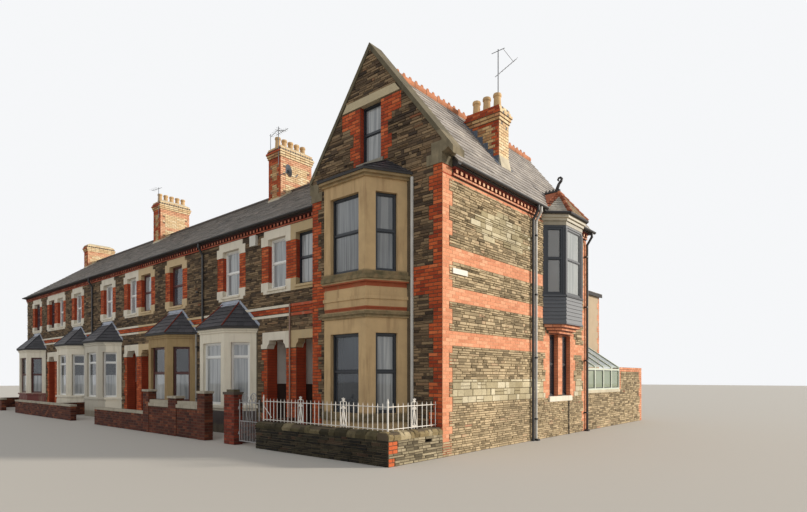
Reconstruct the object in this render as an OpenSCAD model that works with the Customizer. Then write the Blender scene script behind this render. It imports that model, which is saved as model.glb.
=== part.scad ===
/* [Row] */
// Distance from the wing to the first party line
wing_gap = 1370; // [1300:10:1450]
// Width of every house after the first
house_w = 4690; // [4500:10:5200]
// Depth from the wing front to the rear face
depth = 7250; // [6800:10:7800]
// Setback of the terrace front behind the wing front
setback = 400; // [350:10:450]

/* [Walls] */
// Thickness of the outer rubble walls
wall_t = 330; // [300:5:360]
// Thickness of the party walls and annexe walls
party_t = 225; // [200:5:250]
// Thickness of the walls round the porches
lining_t = 100; // [80:5:120]
// Height of the terrace wall split over the ground storey
split_z = 2870; // [2850:5:2920]
// Depth of the window frames behind the outer face
reveal = 110; // [90:5:130]

/* [Roofs] */
// Pitch of the terrace roof
terrace_pitch = 35; // [33:0.5:36]
// Pitch of the steep wing roof
wing_pitch = 52; // [51:0.5:53]
// Thickness of the slated roofs
roof_t = 130; // [110:5:150]
// Height of the slate edge at the eaves
eaves_z = 5990; // [5950:10:6050]
// Overhang of the slates beyond the walls
eaves_over = 150; // [130:5:170]
// Height that the gable coping stands above the slates
coping_rise = 350; // [300:10:400]
// Thickness of the gable coping
coping_t = 90; // [70:5:110]
// Radius of the half-round ridge tiles
ridge_r = 110; // [90:5:130]

/* [Floors] */
// Top of the ground floor
floor0_z = 200; // [150:10:250]
// Top of the first floor
floor1_z = 3150; // [3100:10:3200]
// Top of the attic floor of the wing
floor2_z = 5760; // [5700:10:5800]
// Thickness of every floor
floor_t = 150; // [120:10:180]

/* [Wing] */
// Width of the gabled wing
wing_w = 4000; // [3900:10:4100]
// Half width of the two-storey bay at the wall
ebay_base = 1080; // [1040:10:1120]
// Half width of its front face
ebay_front = 640; // [620:10:660]
// Projection of the two-storey bay
ebay_proj = 800; // [760:10:840]
// Wall thickness of all bays
bay_t = 150; // [130:5:160]
// Width of its front windows
ebay_win = 870; // [840:10:880]
// Width of its side windows
ebay_side_win = 478; // [450:2:490]
// Sill height of its ground floor windows
ebay_sill0 = 850; // [820:10:880]
// Head height of its ground floor windows
ebay_head0 = 2530; // [2500:10:2560]
// Sill height of its upper windows
ebay_sill1 = 3820; // [3800:10:3850]
// Head height of its upper windows
ebay_head1 = 5460; // [5430:10:5480]
// Top of its upper cornice
ebay_top = 5840; // [5810:10:5860]
// Width of the attic window
attic_win_w = 640; // [600:10:680]
// Sill height of the attic window
attic_sill = 6430; // [6420:10:6450]
// Head height of the attic window
attic_head = 7750; // [7700:10:7780]

/* [Row bays] */
// Distance from a pair's shared line to its bay centres
bay_off = 2950; // [2900:10:3000]
// Half width of a row bay at the wall
rbay_base = 1325; // [1300:5:1330]
// Half width of its front face
rbay_front = 685; // [670:5:700]
// Projection of a row bay
rbay_proj = 650; // [620:10:680]
// Width of its front windows
rbay_win = 1000; // [960:10:1020]
// Width of its side windows
rbay_side_win = 540; // [500:10:560]
// Sill height of the row bay windows
rbay_sill = 800; // [780:10:820]
// Head height of the row bay windows
rbay_head = 2620; // [2600:10:2640]
// Height of a row bay's slate edge
rbay_eaves = 3080; // [3060:10:3100]
// Height at which its roof meets the wall
rbay_roof_top = 3850; // [3820:10:3860]

/* [Upper windows] */
// Width of the wide upper window of each house
wide_win = 900; // [860:10:940]
// Width of the narrow upper window of each house
narrow_win = 800; // [760:10:820]
// Gap between the narrow twin windows of a pair
twin_gap = 450; // [430:10:490]
// Sill height of the upper windows
up_sill = 4080; // [4060:10:4100]
// Head height of the upper windows
up_head = 5480; // [5450:10:5500]

/* [Porches] */
// Half width of the brick pier between twin porches
pier_half = 220; // [210:5:240]
// Width of a porch opening
porch_w = 860; // [830:10:880]
// Height of the shoulders under the porch lintel
porch_spring = 2410; // [2390:10:2430]
// Height of the opening under the porch lintel
porch_head = 2640; // [2620:10:2660]
// Reach of each lintel shoulder into the opening
shoulder = 100; // [80:5:120]
// Depth of the porch behind the terrace front
porch_d = 1200; // [1100:10:1300]

/* [Oriel] */
// Distance of the oriel's centre from the wing front
oriel_y = 5340; // [5300:10:5380]
// Half width of the oriel at the wall
oriel_base = 940; // [920:5:950]
// Half width of its main face
oriel_front = 520; // [510:5:530]
// Projection of the oriel
oriel_proj = 450; // [430:5:460]
// Bottom of the weatherboard apron
oriel_z0 = 3000; // [2980:10:3020]
// Sill height of the oriel windows
oriel_sill = 3780; // [3760:10:3800]
// Head height of the oriel windows
oriel_head = 5600; // [5570:10:5620]
// Top of the oriel roof
oriel_apex = 6690; // [6650:10:6720]

/* [Chimneys] */
// Width of a party chimney along the row
stack_w = 720; // [680:10:760]
// Length of a party chimney across the row
stack_l = 1430; // [1380:10:1480]
// Top of the party chimneys
stack_top = 10020; // [9960:10:10080]
// Width of the wing's chimney
main_w = 950; // [900:10:1000]
// Depth of the wing's chimney
main_d = 480; // [450:10:510]
// Gap between the wing's chimney and the ridge
main_gap = 400; // [350:10:450]
// Top of the wing's chimney
main_top = 8530; // [8480:10:8580]
// Height of the chimney pots
pot_h = 420; // [380:10:460]

/* [Garden] */
// Distance of the garden wall face from the wing front
garden_y = 1600; // [1500:10:1700]
// Height of the end house's stone wall with its coping
stone_h = 600; // [560:10:640]
// Thickness of the stone wall
stone_t = 300; // [280:10:320]
// Length of the stone wall past the wing
stone_past = 50; // [30:10:80]
// Clear width of the gateway
gate_w = 900; // [850:10:940]
// Width of the gate pier
gate_pier_w = 430; // [400:10:450]
// Depth of the brick garden walls and piers
pier_d = 225; // [215:5:235]
// Height of the gate pier and of the tall piers
pier_h = 1190; // [1150:10:1230]
// Height of the gate's top rail
gate_rail = 1020; // [1000:10:1040]

/* [Rear] */
// Distance of the end annexe from the flank
annexe_x = 1600; // [1500:10:1700]
// Width of the other annexes
annexe_w = 3100; // [3000:10:3200]
// Length of the annexes
annexe_l = 5250; // [5000:10:5500]
// Height of the annexe walls
annexe_h = 4750; // [4700:10:4800]
// Length of the lean-to conservatory
cons_l = 2890; // [2800:10:3000]
// Height of the conservatory's low edge
cons_low = 1950; // [1900:10:2000]
// Height of the conservatory's high edge
cons_high = 3050; // [3000:10:3100]

/* [Hidden] */
$fn = 32;

tan_t = tan(terrace_pitch);
tan_w = tan(wing_pitch);
houses = 6;
function line(k) = k == 0 ? 0 : -(wing_w + wing_gap + (k - 1) * house_w);
row_end = line(houses);
front_y = setback;
ridge_y = (front_y + depth) / 2;
terrace_ridge = eaves_z + (ridge_y - front_y + eaves_over) * tan_t;
stone_end = wing_w + stone_past;
main_x = wing_w / 2 - main_gap - main_w;
// Clearance between pieces that rest on each other along a slope
seam = 0.3;
wing_mid = -wing_w / 2;
wing_ridge = eaves_z + (wing_w / 2 + eaves_over) * tan_w;
t_drop = roof_t / cos(terrace_pitch);
w_drop = roof_t / cos(wing_pitch);
function t_top(y) = terrace_ridge - abs(y - ridge_y) * tan_t;
function w_top(x) = wing_ridge - abs(x - wing_mid) * tan_w;
function t_under(y) = t_top(y) - t_drop - seam;
function w_under(x) = w_top(x) - w_drop - seam;

soffit_z = eaves_z - 90;
head_z = split_z;
frame_w = 50;
frame_d = 60;
glass_t = 6;
rail_h = 45;
cop_v = coping_t / cos(wing_pitch);
function cop_top(x) = w_top(x) + coping_rise;
function cop_under(x) = cop_top(x) - cop_v;
function cop_seat(x) = cop_under(x) - seam;
// Where the underside of the gable coping passes a height
function cop_x(z) = wing_mid + (wing_ridge + coping_rise - cop_v - z) / tan_w;
kneel_z = eaves_z - 90;
kneel_w = 380;
kneel_h = 210;
knee_in = 120;
knee_h = 230;
kneel_out = 10;
knee_z = kneel_z + kneel_h + knee_h;
foot_right = 290;
foot_left = 60;
bay_frame = 85;

// Centre of the bay of house k
function bay_c(k) = k % 2 == 0 ? line(k - 1) - bay_off : line(k) + bay_off;
// Shared line of the pair that holds house k, and the house's side of it
function pair_line(k) = k % 2 == 0 ? line(k - 1) : line(k);
function side(k) = k % 2 == 0 ? -1 : 1;
function wide_c(k) = bay_c(k);
function narrow_c(k) = pair_line(k) + side(k) * (twin_gap / 2 + narrow_win / 2);
function porch_c(k) = pair_line(k) + side(k) * (pier_half + porch_w / 2);

// Plan of a canted bay, inset by t, with its back edge moved by e
function in_base(base, half, proj, t) = base - t * norm([base - half, proj]) / proj;
function in_half(base, half, proj, t) =
    in_base(base, half, proj, t) - (proj - t) * (base - half) / proj;
function canted(c, y0, base, half, proj, t, e) =
    let(b = in_base(base, half, proj, t), h = in_half(base, half, proj, t))
    [[c - b, y0 + e], [c - b, y0], [c - h, y0 - proj + t], [c + h, y0 - proj + t],
     [c + b, y0], [c + b, y0 + e]];
function plan(c, y0, base, half, proj, t) =
    let(b = in_base(base, half, proj, t), h = in_half(base, half, proj, t))
    [[c - b, y0], [c - h, y0 - proj + t], [c + h, y0 - proj + t], [c + b, y0]];
function cant_angle(base, half, proj) = atan2(proj, base - half);

// Windows: [x, y, angle, width, sill, head, rail height, frame group, set-back]
function rail(z0, z1) = z0 + (z1 - z0) * 0.52;
function bay_windows(c, y0, base, half, proj, w, ws, z0, z1, r, g, b) = [
    [c, y0 - proj, 0, w, z0, z1, r, g, b],
    [c + (base + half) / 2, y0 - proj / 2, cant_angle(base, half, proj), ws, z0, z1, r, g,
     b],
    [c - (base + half) / 2, y0 - proj / 2, -cant_angle(base, half, proj), ws, z0, z1, r, g,
     b]];
function group(k) = k == 1 ? 0 : (k == 3 || k == 6) ? 2 : 1;
bay_sashes = concat(
    bay_windows(wing_mid, 0, ebay_base, ebay_front, ebay_proj, ebay_win, ebay_side_win,
        ebay_sill0, ebay_head0, rail(ebay_sill0, ebay_head0), 0, bay_frame),
    bay_windows(wing_mid, 0, ebay_base, ebay_front, ebay_proj, ebay_win, ebay_side_win,
        ebay_sill1, ebay_head1, rail(ebay_sill1, ebay_head1), 0, bay_frame),
    [for (k = [2:houses]) each bay_windows(bay_c(k), front_y, rbay_base, rbay_front, rbay_proj,
        rbay_win, rbay_side_win, rbay_sill, rbay_head,
        group(k) == 1 ? rbay_head - 420 : rail(rbay_sill, rbay_head), group(k),
        bay_frame)]);
front_sashes = concat(
    [for (k = [1:houses]) [narrow_c(k), front_y, 0, narrow_win, up_sill, up_head,
        rail(up_sill, up_head), group(k), reveal]],
    [for (k = [2:houses]) [wide_c(k), front_y, 0, wide_win, up_sill, up_head,
        rail(up_sill, up_head), group(k), reveal]]);
attic_sash = [[wing_mid, 0, 0, attic_win_w, attic_sill, attic_head,
    rail(attic_sill, attic_head), 0, reveal]];
slit_w = 520;
slit_sill = 1090;
slit_head = 2770;
slit_off = 395;
slit_y = oriel_y + 100;
flank_sashes = [for (s = [-1, 1]) [0, slit_y + s * slit_off, 90, slit_w, slit_sill, slit_head,
    rail(slit_sill, slit_head), 0, reveal]];
function rear_x(k) = k == 1 ? -annexe_x / 2 : pair_line(k) + side(k) * (annexe_w + 780);
rear_win = 620;
rear_sashes = [for (k = [1:houses]) for (f = [0, 1]) if (!(k == 1 && f == 0))
    [rear_x(k), depth, 180, rear_win, f == 0 ? 1100 : 4080, f == 0 ? 2500 : 5300,
     f == 0 ? 1800 : 4700, 1, reveal]];

// Places its children on the outer face at a window
module at_window(w) {
    translate([w[0], w[1], 0]) rotate(w[2]) children();
}
// The hole for a window through a wall of thickness t
module hole(w, t) {
    at_window(w) box([-w[3] / 2, -300, w[4]], [w[3] / 2, t + 200, w[5]]);
}
// A sliding sash window's frame, with its outer face set back into the wall
module sash_frame(w) {
    r = w[8];
    at_window(w) difference() {
        box([-w[3] / 2, r, w[4]], [w[3] / 2, r + frame_d, w[5]]);
        for (s = lights(w))
            box([-w[3] / 2 + frame_w, r - 1, s[0]], [w[3] / 2 - frame_w, r + frame_d + 1, s[1]]);
    }
}
// The two clear heights of a sash window
function lights(w) = [[w[4] + frame_w, w[6] - rail_h / 2], [w[6] + rail_h / 2, w[5] - frame_w]];
module sash_glass(w) {
    r = w[8];
    at_window(w) for (s = lights(w))
        box([-w[3] / 2 + frame_w, r + frame_d / 2 - glass_t / 2, s[0]],
            [w[3] / 2 - frame_w, r + frame_d / 2 + glass_t / 2, s[1]]);
}

// A prism of an x-z outline, from y0 to y1
module along_y(y0, y1, pts) {
    translate([0, y1, 0]) rotate([90, 0, 0]) linear_extrude(y1 - y0) polygon(pts);
}
// A prism of a y-z outline, from x0 to x1
module along_x(x0, x1, pts) {
    translate([x0, 0, 0]) rotate([90, 0, 90]) linear_extrude(x1 - x0) polygon(pts);
}
// A box from one corner to the other
module box(a, b) {
    translate(a) cube(b - a);
}

row_x0 = row_end + party_t;
inner_y = front_y + wall_t;
rear_y = depth - wall_t;
eave_x = -(wing_w + eaves_over);
valley_x = wing_mid - (wing_ridge - terrace_ridge) / tan_w;
verge = 40;
soffit_ty = front_y - eaves_over + (t_drop - eaves_z + soffit_z) / tan_t;
soffit_wx = eaves_over - (w_drop - eaves_z + soffit_z) / tan_w;
bay_gap = 225;
head0_z = split_z - 20;
stack_y = ridge_y - 575;
main_y = ridge_y - 545;
end_stack_w = 560;
end_stack_top = stack_top - 620;
band_z0 = 3270;
band_z1 = 3590;
strip_h = 70;
strip_out = 30;

// Chimney stacks through the roofs: [x0, x1, y0, y1]
stacks = concat([for (k = [2:2:houses - 1]) [line(k) - stack_w / 2, line(k) + stack_w / 2,
    stack_y, stack_y + stack_l]], [[row_end, row_end + end_stack_w, stack_y, stack_y + stack_l]]);
module stack_holes() {
    for (s = stacks) box([s[0], s[2], 0], [s[1], s[3], 15000]);
}
module main_stack_hole() {
    box([-main_x - main_w, main_y, 0], [-main_x, main_y + main_d, 15000]);
}

// The ground storey wall of the terrace, split at every bay and porch
module terrace_ground_wall() {
    color("dimgray") difference() {
        box([row_x0, front_y, 0], [-wing_w, inner_y, split_z]);
        for (k = [2:houses]) box([bay_c(k) - rbay_base + bay_gap, front_y - 1, -1],
            [bay_c(k) + rbay_base - bay_gap, inner_y + 1, split_z + 1]);
        for (k = [1:houses]) box([porch_c(k) - porch_w / 2, front_y - 1, -1],
            [porch_c(k) + porch_w / 2, inner_y + 1, split_z + 1]);
        lintel_stones();
    }
}
// The space that the wing's inner eaves take over a terrace wall
module under_wing_eaves(y0, y1) {
    box([eave_x - 1, y0 - 1, soffit_z - seam], [-wing_w, y1 + 1, soffit_z + 1000]);
}
// The upper wall of the terrace with its windows
module terrace_upper_wall() {
    color("dimgray") difference() {
        along_x(row_x0, -wing_w, [[front_y, split_z], [inner_y, split_z],
            [inner_y, t_under(inner_y)], [front_y, t_under(front_y)]]);
        for (w = front_sashes) hole(w, wall_t);
        dressing_stones();
        under_wing_eaves(front_y, inner_y);
    }
}
// Half outline of the gable wall, from the kneeler up to the coping
gable_edge = [[-kneel_w, kneel_z], [-kneel_w, kneel_z + kneel_h],
    [-kneel_w + knee_in, kneel_z + kneel_h], [-kneel_w + knee_in, knee_z], [0, knee_z],
    [0, cop_seat(0)]];
// The same outline on the other side of the wing's middle, in the other order
function mirror_pts(pts) = [for (i = [1:len(pts)])
    [2 * wing_mid - pts[len(pts) - i][0], pts[len(pts) - i][1]]];
// The wing's front wall with its parapet gable
module wing_gable_wall() {
    color("dimgray") {
        difference() {
            along_y(0, wall_t, concat([[-wing_w, 0], [0, 0], [0, kneel_z]], gable_edge,
                [[wing_mid, cop_seat(wing_mid)]], mirror_pts(gable_edge),
                [[-wing_w, kneel_z]]));
            for (z = [[0, head0_z], [floor1_z, ebay_head1]])
                box([wing_mid - ebay_base + bay_gap, -1, z[0] - (z[0] == 0 ? 1 : 0)],
                    [wing_mid + ebay_base - bay_gap, wall_t + 1, z[1]]);
            hole(attic_sash[0], wall_t);
            attic_stones();
        }
        along_y(wall_t, inner_y, [[-wing_w, 0], [-wing_w + wall_t, 0],
            [-wing_w + wall_t, w_under(-wing_w + wall_t)], [-wing_w, w_under(-wing_w)]]);
    }
}
// The long side wall towards the lane
module flank_wall() {
    color("dimgray") difference() {
        along_y(wall_t, rear_y, [[-wall_t, 0], [0, 0], [0, w_under(0)],
            [-wall_t, w_under(-wall_t)]]);
        box([-wall_t - 1, oriel_y - oriel_base + 160, oriel_sill],
            [1, oriel_y + oriel_base - 160, oriel_head]);
        for (w = flank_sashes) hole(w, wall_t);
        slit_stones();
    }
}
// The rear wall, with the wing's rear gable
module rear_wall() {
    color("dimgray") difference() {
        union() {
            difference() {
                along_x(row_x0, -wing_w, [[rear_y, 0], [depth, 0], [depth, t_under(depth)],
                    [rear_y, t_under(rear_y)]]);
                under_wing_eaves(rear_y, depth);
            }
            along_y(rear_y, depth, [[-wing_w, 0], [0, 0], [0, w_under(0)],
                [wing_mid, w_under(wing_mid)], [-wing_w, w_under(-wing_w)]]);
        }
        for (w = rear_sashes) hole(w, wall_t);
    }
}
party_outline = [[inner_y, 0], [rear_y, 0], [rear_y, t_under(rear_y)],
    [ridge_y, t_under(ridge_y)], [inner_y, t_under(inner_y)]];
module party_walls() {
    color("gray") difference() {
        for (k = [1:houses - 1])
            along_x(line(k) - party_t / 2, line(k) + party_t / 2, party_outline);
        for (k = [2:2:houses - 1]) stack_base(line(k));
    }
}
// The plain wall where the row ends
module end_party_wall() {
    color("gray") difference() {
        along_x(row_end, row_x0, [[front_y, 0], [depth, 0], [depth, t_under(depth)],
            [ridge_y, t_under(ridge_y)], [front_y, t_under(front_y)]]);
        box([row_end - 1, stack_y, stack_foot], [row_x0 + 1, stack_y + stack_l, 15000]);
    }
}
// Floors of every storey, each house between its own walls
module floor_slab(k, z) {
    x0 = line(k) + (k == houses ? party_t : party_t / 2);
    x1 = k == 1 ? -wall_t : line(k - 1) - party_t / 2;
    box([x0, inner_y, z - floor_t], [x1, rear_y, z]);
    if (k == 1) box([-wing_w + wall_t, wall_t, z - floor_t], [-wall_t, inner_y + 1, z]);
}
module floors() {
    color("burlywood") {
        for (k = [1:houses]) {
            difference() {
                union() {
                    floor_slab(k, floor0_z);
                    box([porch_c(k) - porch_w / 2, front_y, floor0_z - floor_t],
                        [porch_c(k) + porch_w / 2, inner_y + 1, floor0_z]);
                    if (k > 1) bay_floor(bay_c(k), front_y, rbay_base, rbay_front, rbay_proj,
                        floor0_z);
                    if (k == 1) bay_floor(wing_mid, 0, ebay_base, ebay_front, ebay_proj,
                        floor0_z);
                }
                porch_lining(k);
            }
            floor_slab(k, floor1_z);
        }
        bay_slab(wing_mid, 0, ebay_base, ebay_front, ebay_proj, floor1_z);
        difference() {
            floor_slab(1, floor2_z);
            main_stack_hole();
        }
    }
}
module bay_slab(c, y0, base, half, proj, z) {
    translate([0, 0, z - floor_t]) linear_extrude(floor_t)
        polygon(plan(c, y0, base, half, proj, bay_t));
}
module bay_floor(c, y0, base, half, proj, z) {
    bay_slab(c, y0, base, half, proj, z);
    box([c - base + bay_gap, y0 - 1, z - floor_t], [c + base - bay_gap, y0 + wall_t + 1, z]);
}

// Roofs: slated slopes, mitred at the valleys
module terrace_slope(front) {
    s = front ? 1 : -1;
    o = front ? 0 : 2 * ridge_y;
    pts = [[front_y - eaves_over, eaves_z], [ridge_y, terrace_ridge],
        [ridge_y, terrace_ridge - t_drop], [soffit_ty, soffit_z],
        [front_y - eaves_over, soffit_z]];
    difference() {
        intersection() {
            along_x(row_end - verge, valley_x, [for (p = pts) [o + s * p[0], p[1]]]);
            linear_extrude(15000) polygon([for (p = [[row_end - 500, -2000], [eave_x, -2000],
                [eave_x, front_y - eaves_over], [valley_x, ridge_y],
                [row_end - 500, ridge_y]]) [p[0], o + s * p[1]]]);
        }
        stack_holes();
    }
}
module terrace_roof_front() {
    color("slategray") terrace_slope(true);
}
module terrace_roof_rear() {
    color("slategray") terrace_slope(false);
}
wing_slope = [[eaves_over, eaves_z], [wing_mid, wing_ridge], [wing_mid, wing_ridge - w_drop],
    [soffit_wx, soffit_z], [eaves_over, soffit_z]];
module wing_roof_street() {
    color("slategray") difference() {
        along_y(wall_t, depth + eaves_over, wing_slope);
        main_stack();
    }
}
module wing_roof_inner() {
    color("slategray") difference() {
        along_y(front_y - eaves_over, depth + eaves_over,
            [for (p = wing_slope) [2 * wing_mid - p[0], p[1]]]);
        linear_extrude(15000) polygon([[eave_x - 1, front_y - eaves_over], [eave_x, front_y - eaves_over],
            [valley_x, ridge_y], [eave_x, depth + eaves_over], [eave_x - 1, depth + eaves_over]]);
        box([-wing_w - foot_left - seam, -1000, 0], [1000, wall_t, 15000]);
    }
}
module ridge_tiles() {
    color("sienna") {
        difference() {
            translate([row_end - verge, ridge_y, terrace_ridge - 30]) rotate([0, 90, 0])
                cylinder(h = valley_x - row_end + verge, r = ridge_r);
            along_x(row_end - 500, 0, [[ridge_y - 400, t_top(ridge_y - 400)],
                [ridge_y, terrace_ridge], [ridge_y + 400, t_top(ridge_y + 400)],
                [ridge_y + 400, terrace_ridge - 900], [ridge_y - 400, terrace_ridge - 900]]);
            stack_holes();
            along_y(-100, depth + 500, [[wing_mid - 900, w_top(wing_mid - 900)],
                [wing_mid, wing_ridge], [0, wing_ridge], [0, 0], [wing_mid - 900, 0]]);
        }
        difference() {
            translate([wing_mid, depth + eaves_over, wing_ridge - 30]) rotate([90, 0, 0])
                cylinder(h = depth + eaves_over - wall_t, r = ridge_r);
            along_y(0, depth + 500, [[wing_mid - 400, w_top(wing_mid - 400)],
                [wing_mid, wing_ridge], [wing_mid + 400, w_top(wing_mid + 400)],
                [wing_mid + 400, wing_ridge - 900], [wing_mid - 400, wing_ridge - 900]]);
            box([-main_x - main_w - corbel, main_y - corbel, 0],
                [-main_x, main_y + main_d + corbel, 15000]);
        }
        crest_run(wall_t + 20, depth + eaves_over - 20);
    }
}
corbel = 75;
// Crested fin along the wing's ridge
crest_pitch = 230;
crest_h = 90;
crest_t = 24;
module crest_run(y0, y1) {
    n = floor((y1 - y0) / crest_pitch);
    z = wing_ridge - 30 + ridge_r - 6;
    for (i = [0:n - 1])
        along_x(wing_mid - crest_t / 2, wing_mid + crest_t / 2,
            [for (p = [[0.02, 0], [0.98, 0], [0.98, 0.35], [0.75, 0.35], [0.62, 1], [0.38, 1],
                [0.25, 0.35], [0.02, 0.35]]) [y0 + (i + p[0]) * crest_pitch, z + p[1] * crest_h]]);
}
module gable_coping() {
    color("tan") {
        xr = foot_right;
        xl = -wing_w - foot_left;
        along_y(-40, wall_t + 25, [[xr, cop_top(xr)], [wing_mid, cop_top(wing_mid)],
            [xl, cop_top(xl)], [xl, cop_under(xl)], [wing_mid, cop_under(wing_mid)],
            [xr, cop_under(xr)]]);
        kneeler([[60, kneel_z + kneel_h], [foot_right - 120, cop_under(foot_right - 120)]]);
        translate([2 * wing_mid, 0, 0]) mirror([1, 0, 0])
            kneeler([[foot_left, kneel_z + kneel_h], [foot_left, cop_under(foot_left)]]);
    }
}
// Two kneeler stones under the foot of the coping, with the outer edge of their corbel
module kneeler(corbel_edge) {
    z = kneel_z + kneel_h;
    along_y(-30, wall_t, concat([[-kneel_w, kneel_z], [kneel_out, kneel_z], [kneel_out, z]],
        corbel_edge, [[0, cop_under(0)], [0, knee_z], [-kneel_w + knee_in, knee_z],
        [-kneel_w + knee_in, z], [-kneel_w, z]]));
}

// Bays. A level is [bottom, top, outset]
module bay_shell(c, y0, base, half, proj, levels) {
    for (l = levels) translate([0, 0, l[0]]) linear_extrude(l[1] - l[0]) difference() {
        polygon(plan(c, y0, base, half, proj, -l[2]));
        polygon(canted(c, y0, base, half, proj, bay_t, 50));
    }
}
module end_bay(levels, z0, z1) {
    difference() {
        bay_shell(wing_mid, 0, ebay_base, ebay_front, ebay_proj, levels);
        for (w = bay_sashes) if (w[4] >= z0 && w[4] < z1 && w[0] > -wing_w) hole(w, bay_t);
    }
}
ebay_cornice = 2980;
ebay_split = 3000;
ebay_panel = 3460;
module end_bay_lower() {
    color("wheat") end_bay([[0, 700, 20], [700, ebay_sill0 - upstand, 55],
        [ebay_sill0 - upstand, 2850, 0], [2850, 2910, 40], [2910, ebay_cornice, 80]], 0, ebay_split);
}
module end_bay_upper() {
    color("wheat") end_bay([[ebay_cornice, ebay_cornice + 70, -10],
        [ebay_cornice + 70, 3230, 0], [3230, 3300, 25], [3300, ebay_panel, 0],
        [ebay_panel, 3580, -10], [3580, 3650, 50], [3650, 3730, 70], [3730, ebay_sill1 - upstand, 30],
        [ebay_sill1 - upstand, ebay_top - 100, 0], [ebay_top - 100, ebay_top - 50, 50],
        [ebay_top - 50, ebay_top, 110]], ebay_split, ebay_top);
}
module canted_roof(c, y0, base, half, proj, out, z, h, top, ridge_half) {
    hull() {
        translate([0, 0, z]) linear_extrude(h) polygon(plan(c, y0, base, half, proj, -out));
        box([c - ridge_half, y0 - 12, top - 20], [c + ridge_half, y0, top]);
    }
}
module end_bay_roof() {
    color("slategray") canted_roof(wing_mid, 0, ebay_base, ebay_front, ebay_proj, 140,
        ebay_top, 40, attic_sill - 110, 520);
}
rbay_top = rbay_eaves - 60;
// The sills end a little under the window openings
upstand = 10;
rbay_levels = [[0, 620, 15], [620, rbay_sill - 90, 0],
    [rbay_sill - 90, rbay_sill - upstand, 50], [rbay_sill - upstand, rbay_top - 120, 0], [rbay_top - 120, rbay_top - 60, 30],
    [rbay_top - 60, rbay_top, 60]];
module row_bay(k) {
    difference() {
        bay_shell(bay_c(k), front_y, rbay_base, rbay_front, rbay_proj, rbay_levels);
        for (w = bay_sashes) if (abs(w[0] - bay_c(k)) < rbay_base && w[4] == rbay_sill)
            hole(w, bay_t);
    }
}
module painted_bays() {
    color("ivory") for (k = [2:houses]) if (k != 3) row_bay(k);
}
module sandstone_bay() {
    color("peru") row_bay(3);
}
module row_bay_roof(k) {
    canted_roof(bay_c(k), front_y, rbay_base, rbay_front, rbay_proj, 110, rbay_top, 60,
        rbay_roof_top, 460);
}
module row_bay_roofs() {
    color("slategray") for (k = [2:houses]) row_bay_roof(k);
}

// Oriel on the flank, drawn facing the front and turned to the lane
module on_flank() {
    translate([0, oriel_y, 0]) rotate(90) children();
}
oriel_t = 90;
oriel_sashes = bay_windows(0, 0, oriel_base, oriel_front, oriel_proj, 2 * oriel_front - 160,
    norm([oriel_base - oriel_front, oriel_proj]) - 160, oriel_sill, oriel_head - 60,
    rail(oriel_sill, oriel_head), 0, 15);
oriel_top = soffit_z - 40;
module oriel_body() {
    color("dimgray") on_flank() {
        difference() {
            for (l = [[oriel_z0, oriel_z0 + 40, 20], [oriel_z0 + 40, oriel_sill - 60, 0],
                [oriel_sill - 60, oriel_sill - upstand, 35],
                [oriel_sill - upstand, oriel_head, 0],
                [oriel_head, oriel_top - 160, 10], [oriel_top - 160, oriel_top - 80, 45],
                [oriel_top - 80, oriel_top, 90]])
                translate([0, 0, l[0]]) linear_extrude(l[1] - l[0]) difference() {
                    polygon(plan(0, 0, oriel_base, oriel_front, oriel_proj, -l[2]));
                    if (l[0] > oriel_z0) polygon(canted(0, 0, oriel_base, oriel_front,
                        oriel_proj, oriel_t, 50));
                }
            for (w = oriel_sashes) hole(w, oriel_t);
        }
        for (i = [0:2]) translate([0, 0, oriel_z0 - (i + 1) * 75]) linear_extrude(75)
            polygon(plan(0, 0, oriel_base, oriel_front, oriel_proj, 60 + i * 90));
    }
}
module oriel_roof() {
    color("slategray") {
        difference() {
            on_flank() hull() {
                translate([0, 0, oriel_top]) linear_extrude(40)
                    polygon(concat(plan(0, 0, oriel_base, oriel_front, oriel_proj, -130),
                        [[in_base(oriel_base, oriel_front, oriel_proj, -130), 700],
                         [-in_base(oriel_base, oriel_front, oriel_proj, -130), 700]]));
                box([-12, 0, oriel_apex - 20], [12, 700, oriel_apex]);
            }
            along_y(0, depth + 1000, [[eaves_over, oriel_top - 100], [eaves_over, eaves_z],
                [wing_mid, wing_ridge], [wing_mid, oriel_top - 100]]);
            box([wing_mid, 0, oriel_top - 100], [0, depth + 1000, eaves_z + 50]);
        }
        translate([0, oriel_y, oriel_apex - 15]) {
            cylinder(h = 200, r1 = 22, r2 = 12);
            translate([0, 0, 200]) sphere(r = 32);
        }
    }
}

// Stones over and under the upper windows. Each side reaches l or r past the opening;
// the side at a pair's shared line has no ear
ear = 330;
step_in = 140;
lintel_h = soffit_z - 170 - up_head;
lintel_y = 25;
stone_in = 150;
sill_h = 130;
attic_band = 180;
function lintel_pts(q, l, r, step_r) = let(z = up_head)
    [[-q - l, z - 170], [-q - l, z + 100], [-q - l + step_in, z + 100],
     [-q - l + step_in, z + lintel_h], [q + r - step_r, z + lintel_h],
     [q + r - step_r, z + 100], [q + r, z + 100], [q + r, z - 170],
     [q, z - 170], [q, z], [-q, z], [-q, z - 170]];
function sill_pts(q, l, r, step_r) = let(z = up_sill)
    [[-q - l + 100, z - sill_h], [q + r - step_r, z - sill_h], [q + r - step_r, z - 50],
     [q + r, z - 50], [q + r, z + 200], [q, z + 200], [q, z], [-q, z], [-q, z + 200],
     [-q - l, z + 200], [-q - l, z - 50], [-q - l + 100, z - 50]];
module window_stones(q, l, r, s) {
    along_y(front_y - lintel_y, front_y + stone_in,
        [for (p = lintel_pts(q, l, r, r == ear ? step_in : 0)) [s * p[0], p[1]]]);
    along_y(front_y - lintel_y, front_y + stone_in,
        [for (p = sill_pts(q, l, r, r == ear ? 100 : 0)) [s * p[0], p[1]]]);
    box([-q - 40, front_y - 60, up_sill - 60], [q + 40, front_y - lintel_y, up_sill]);
}
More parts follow.
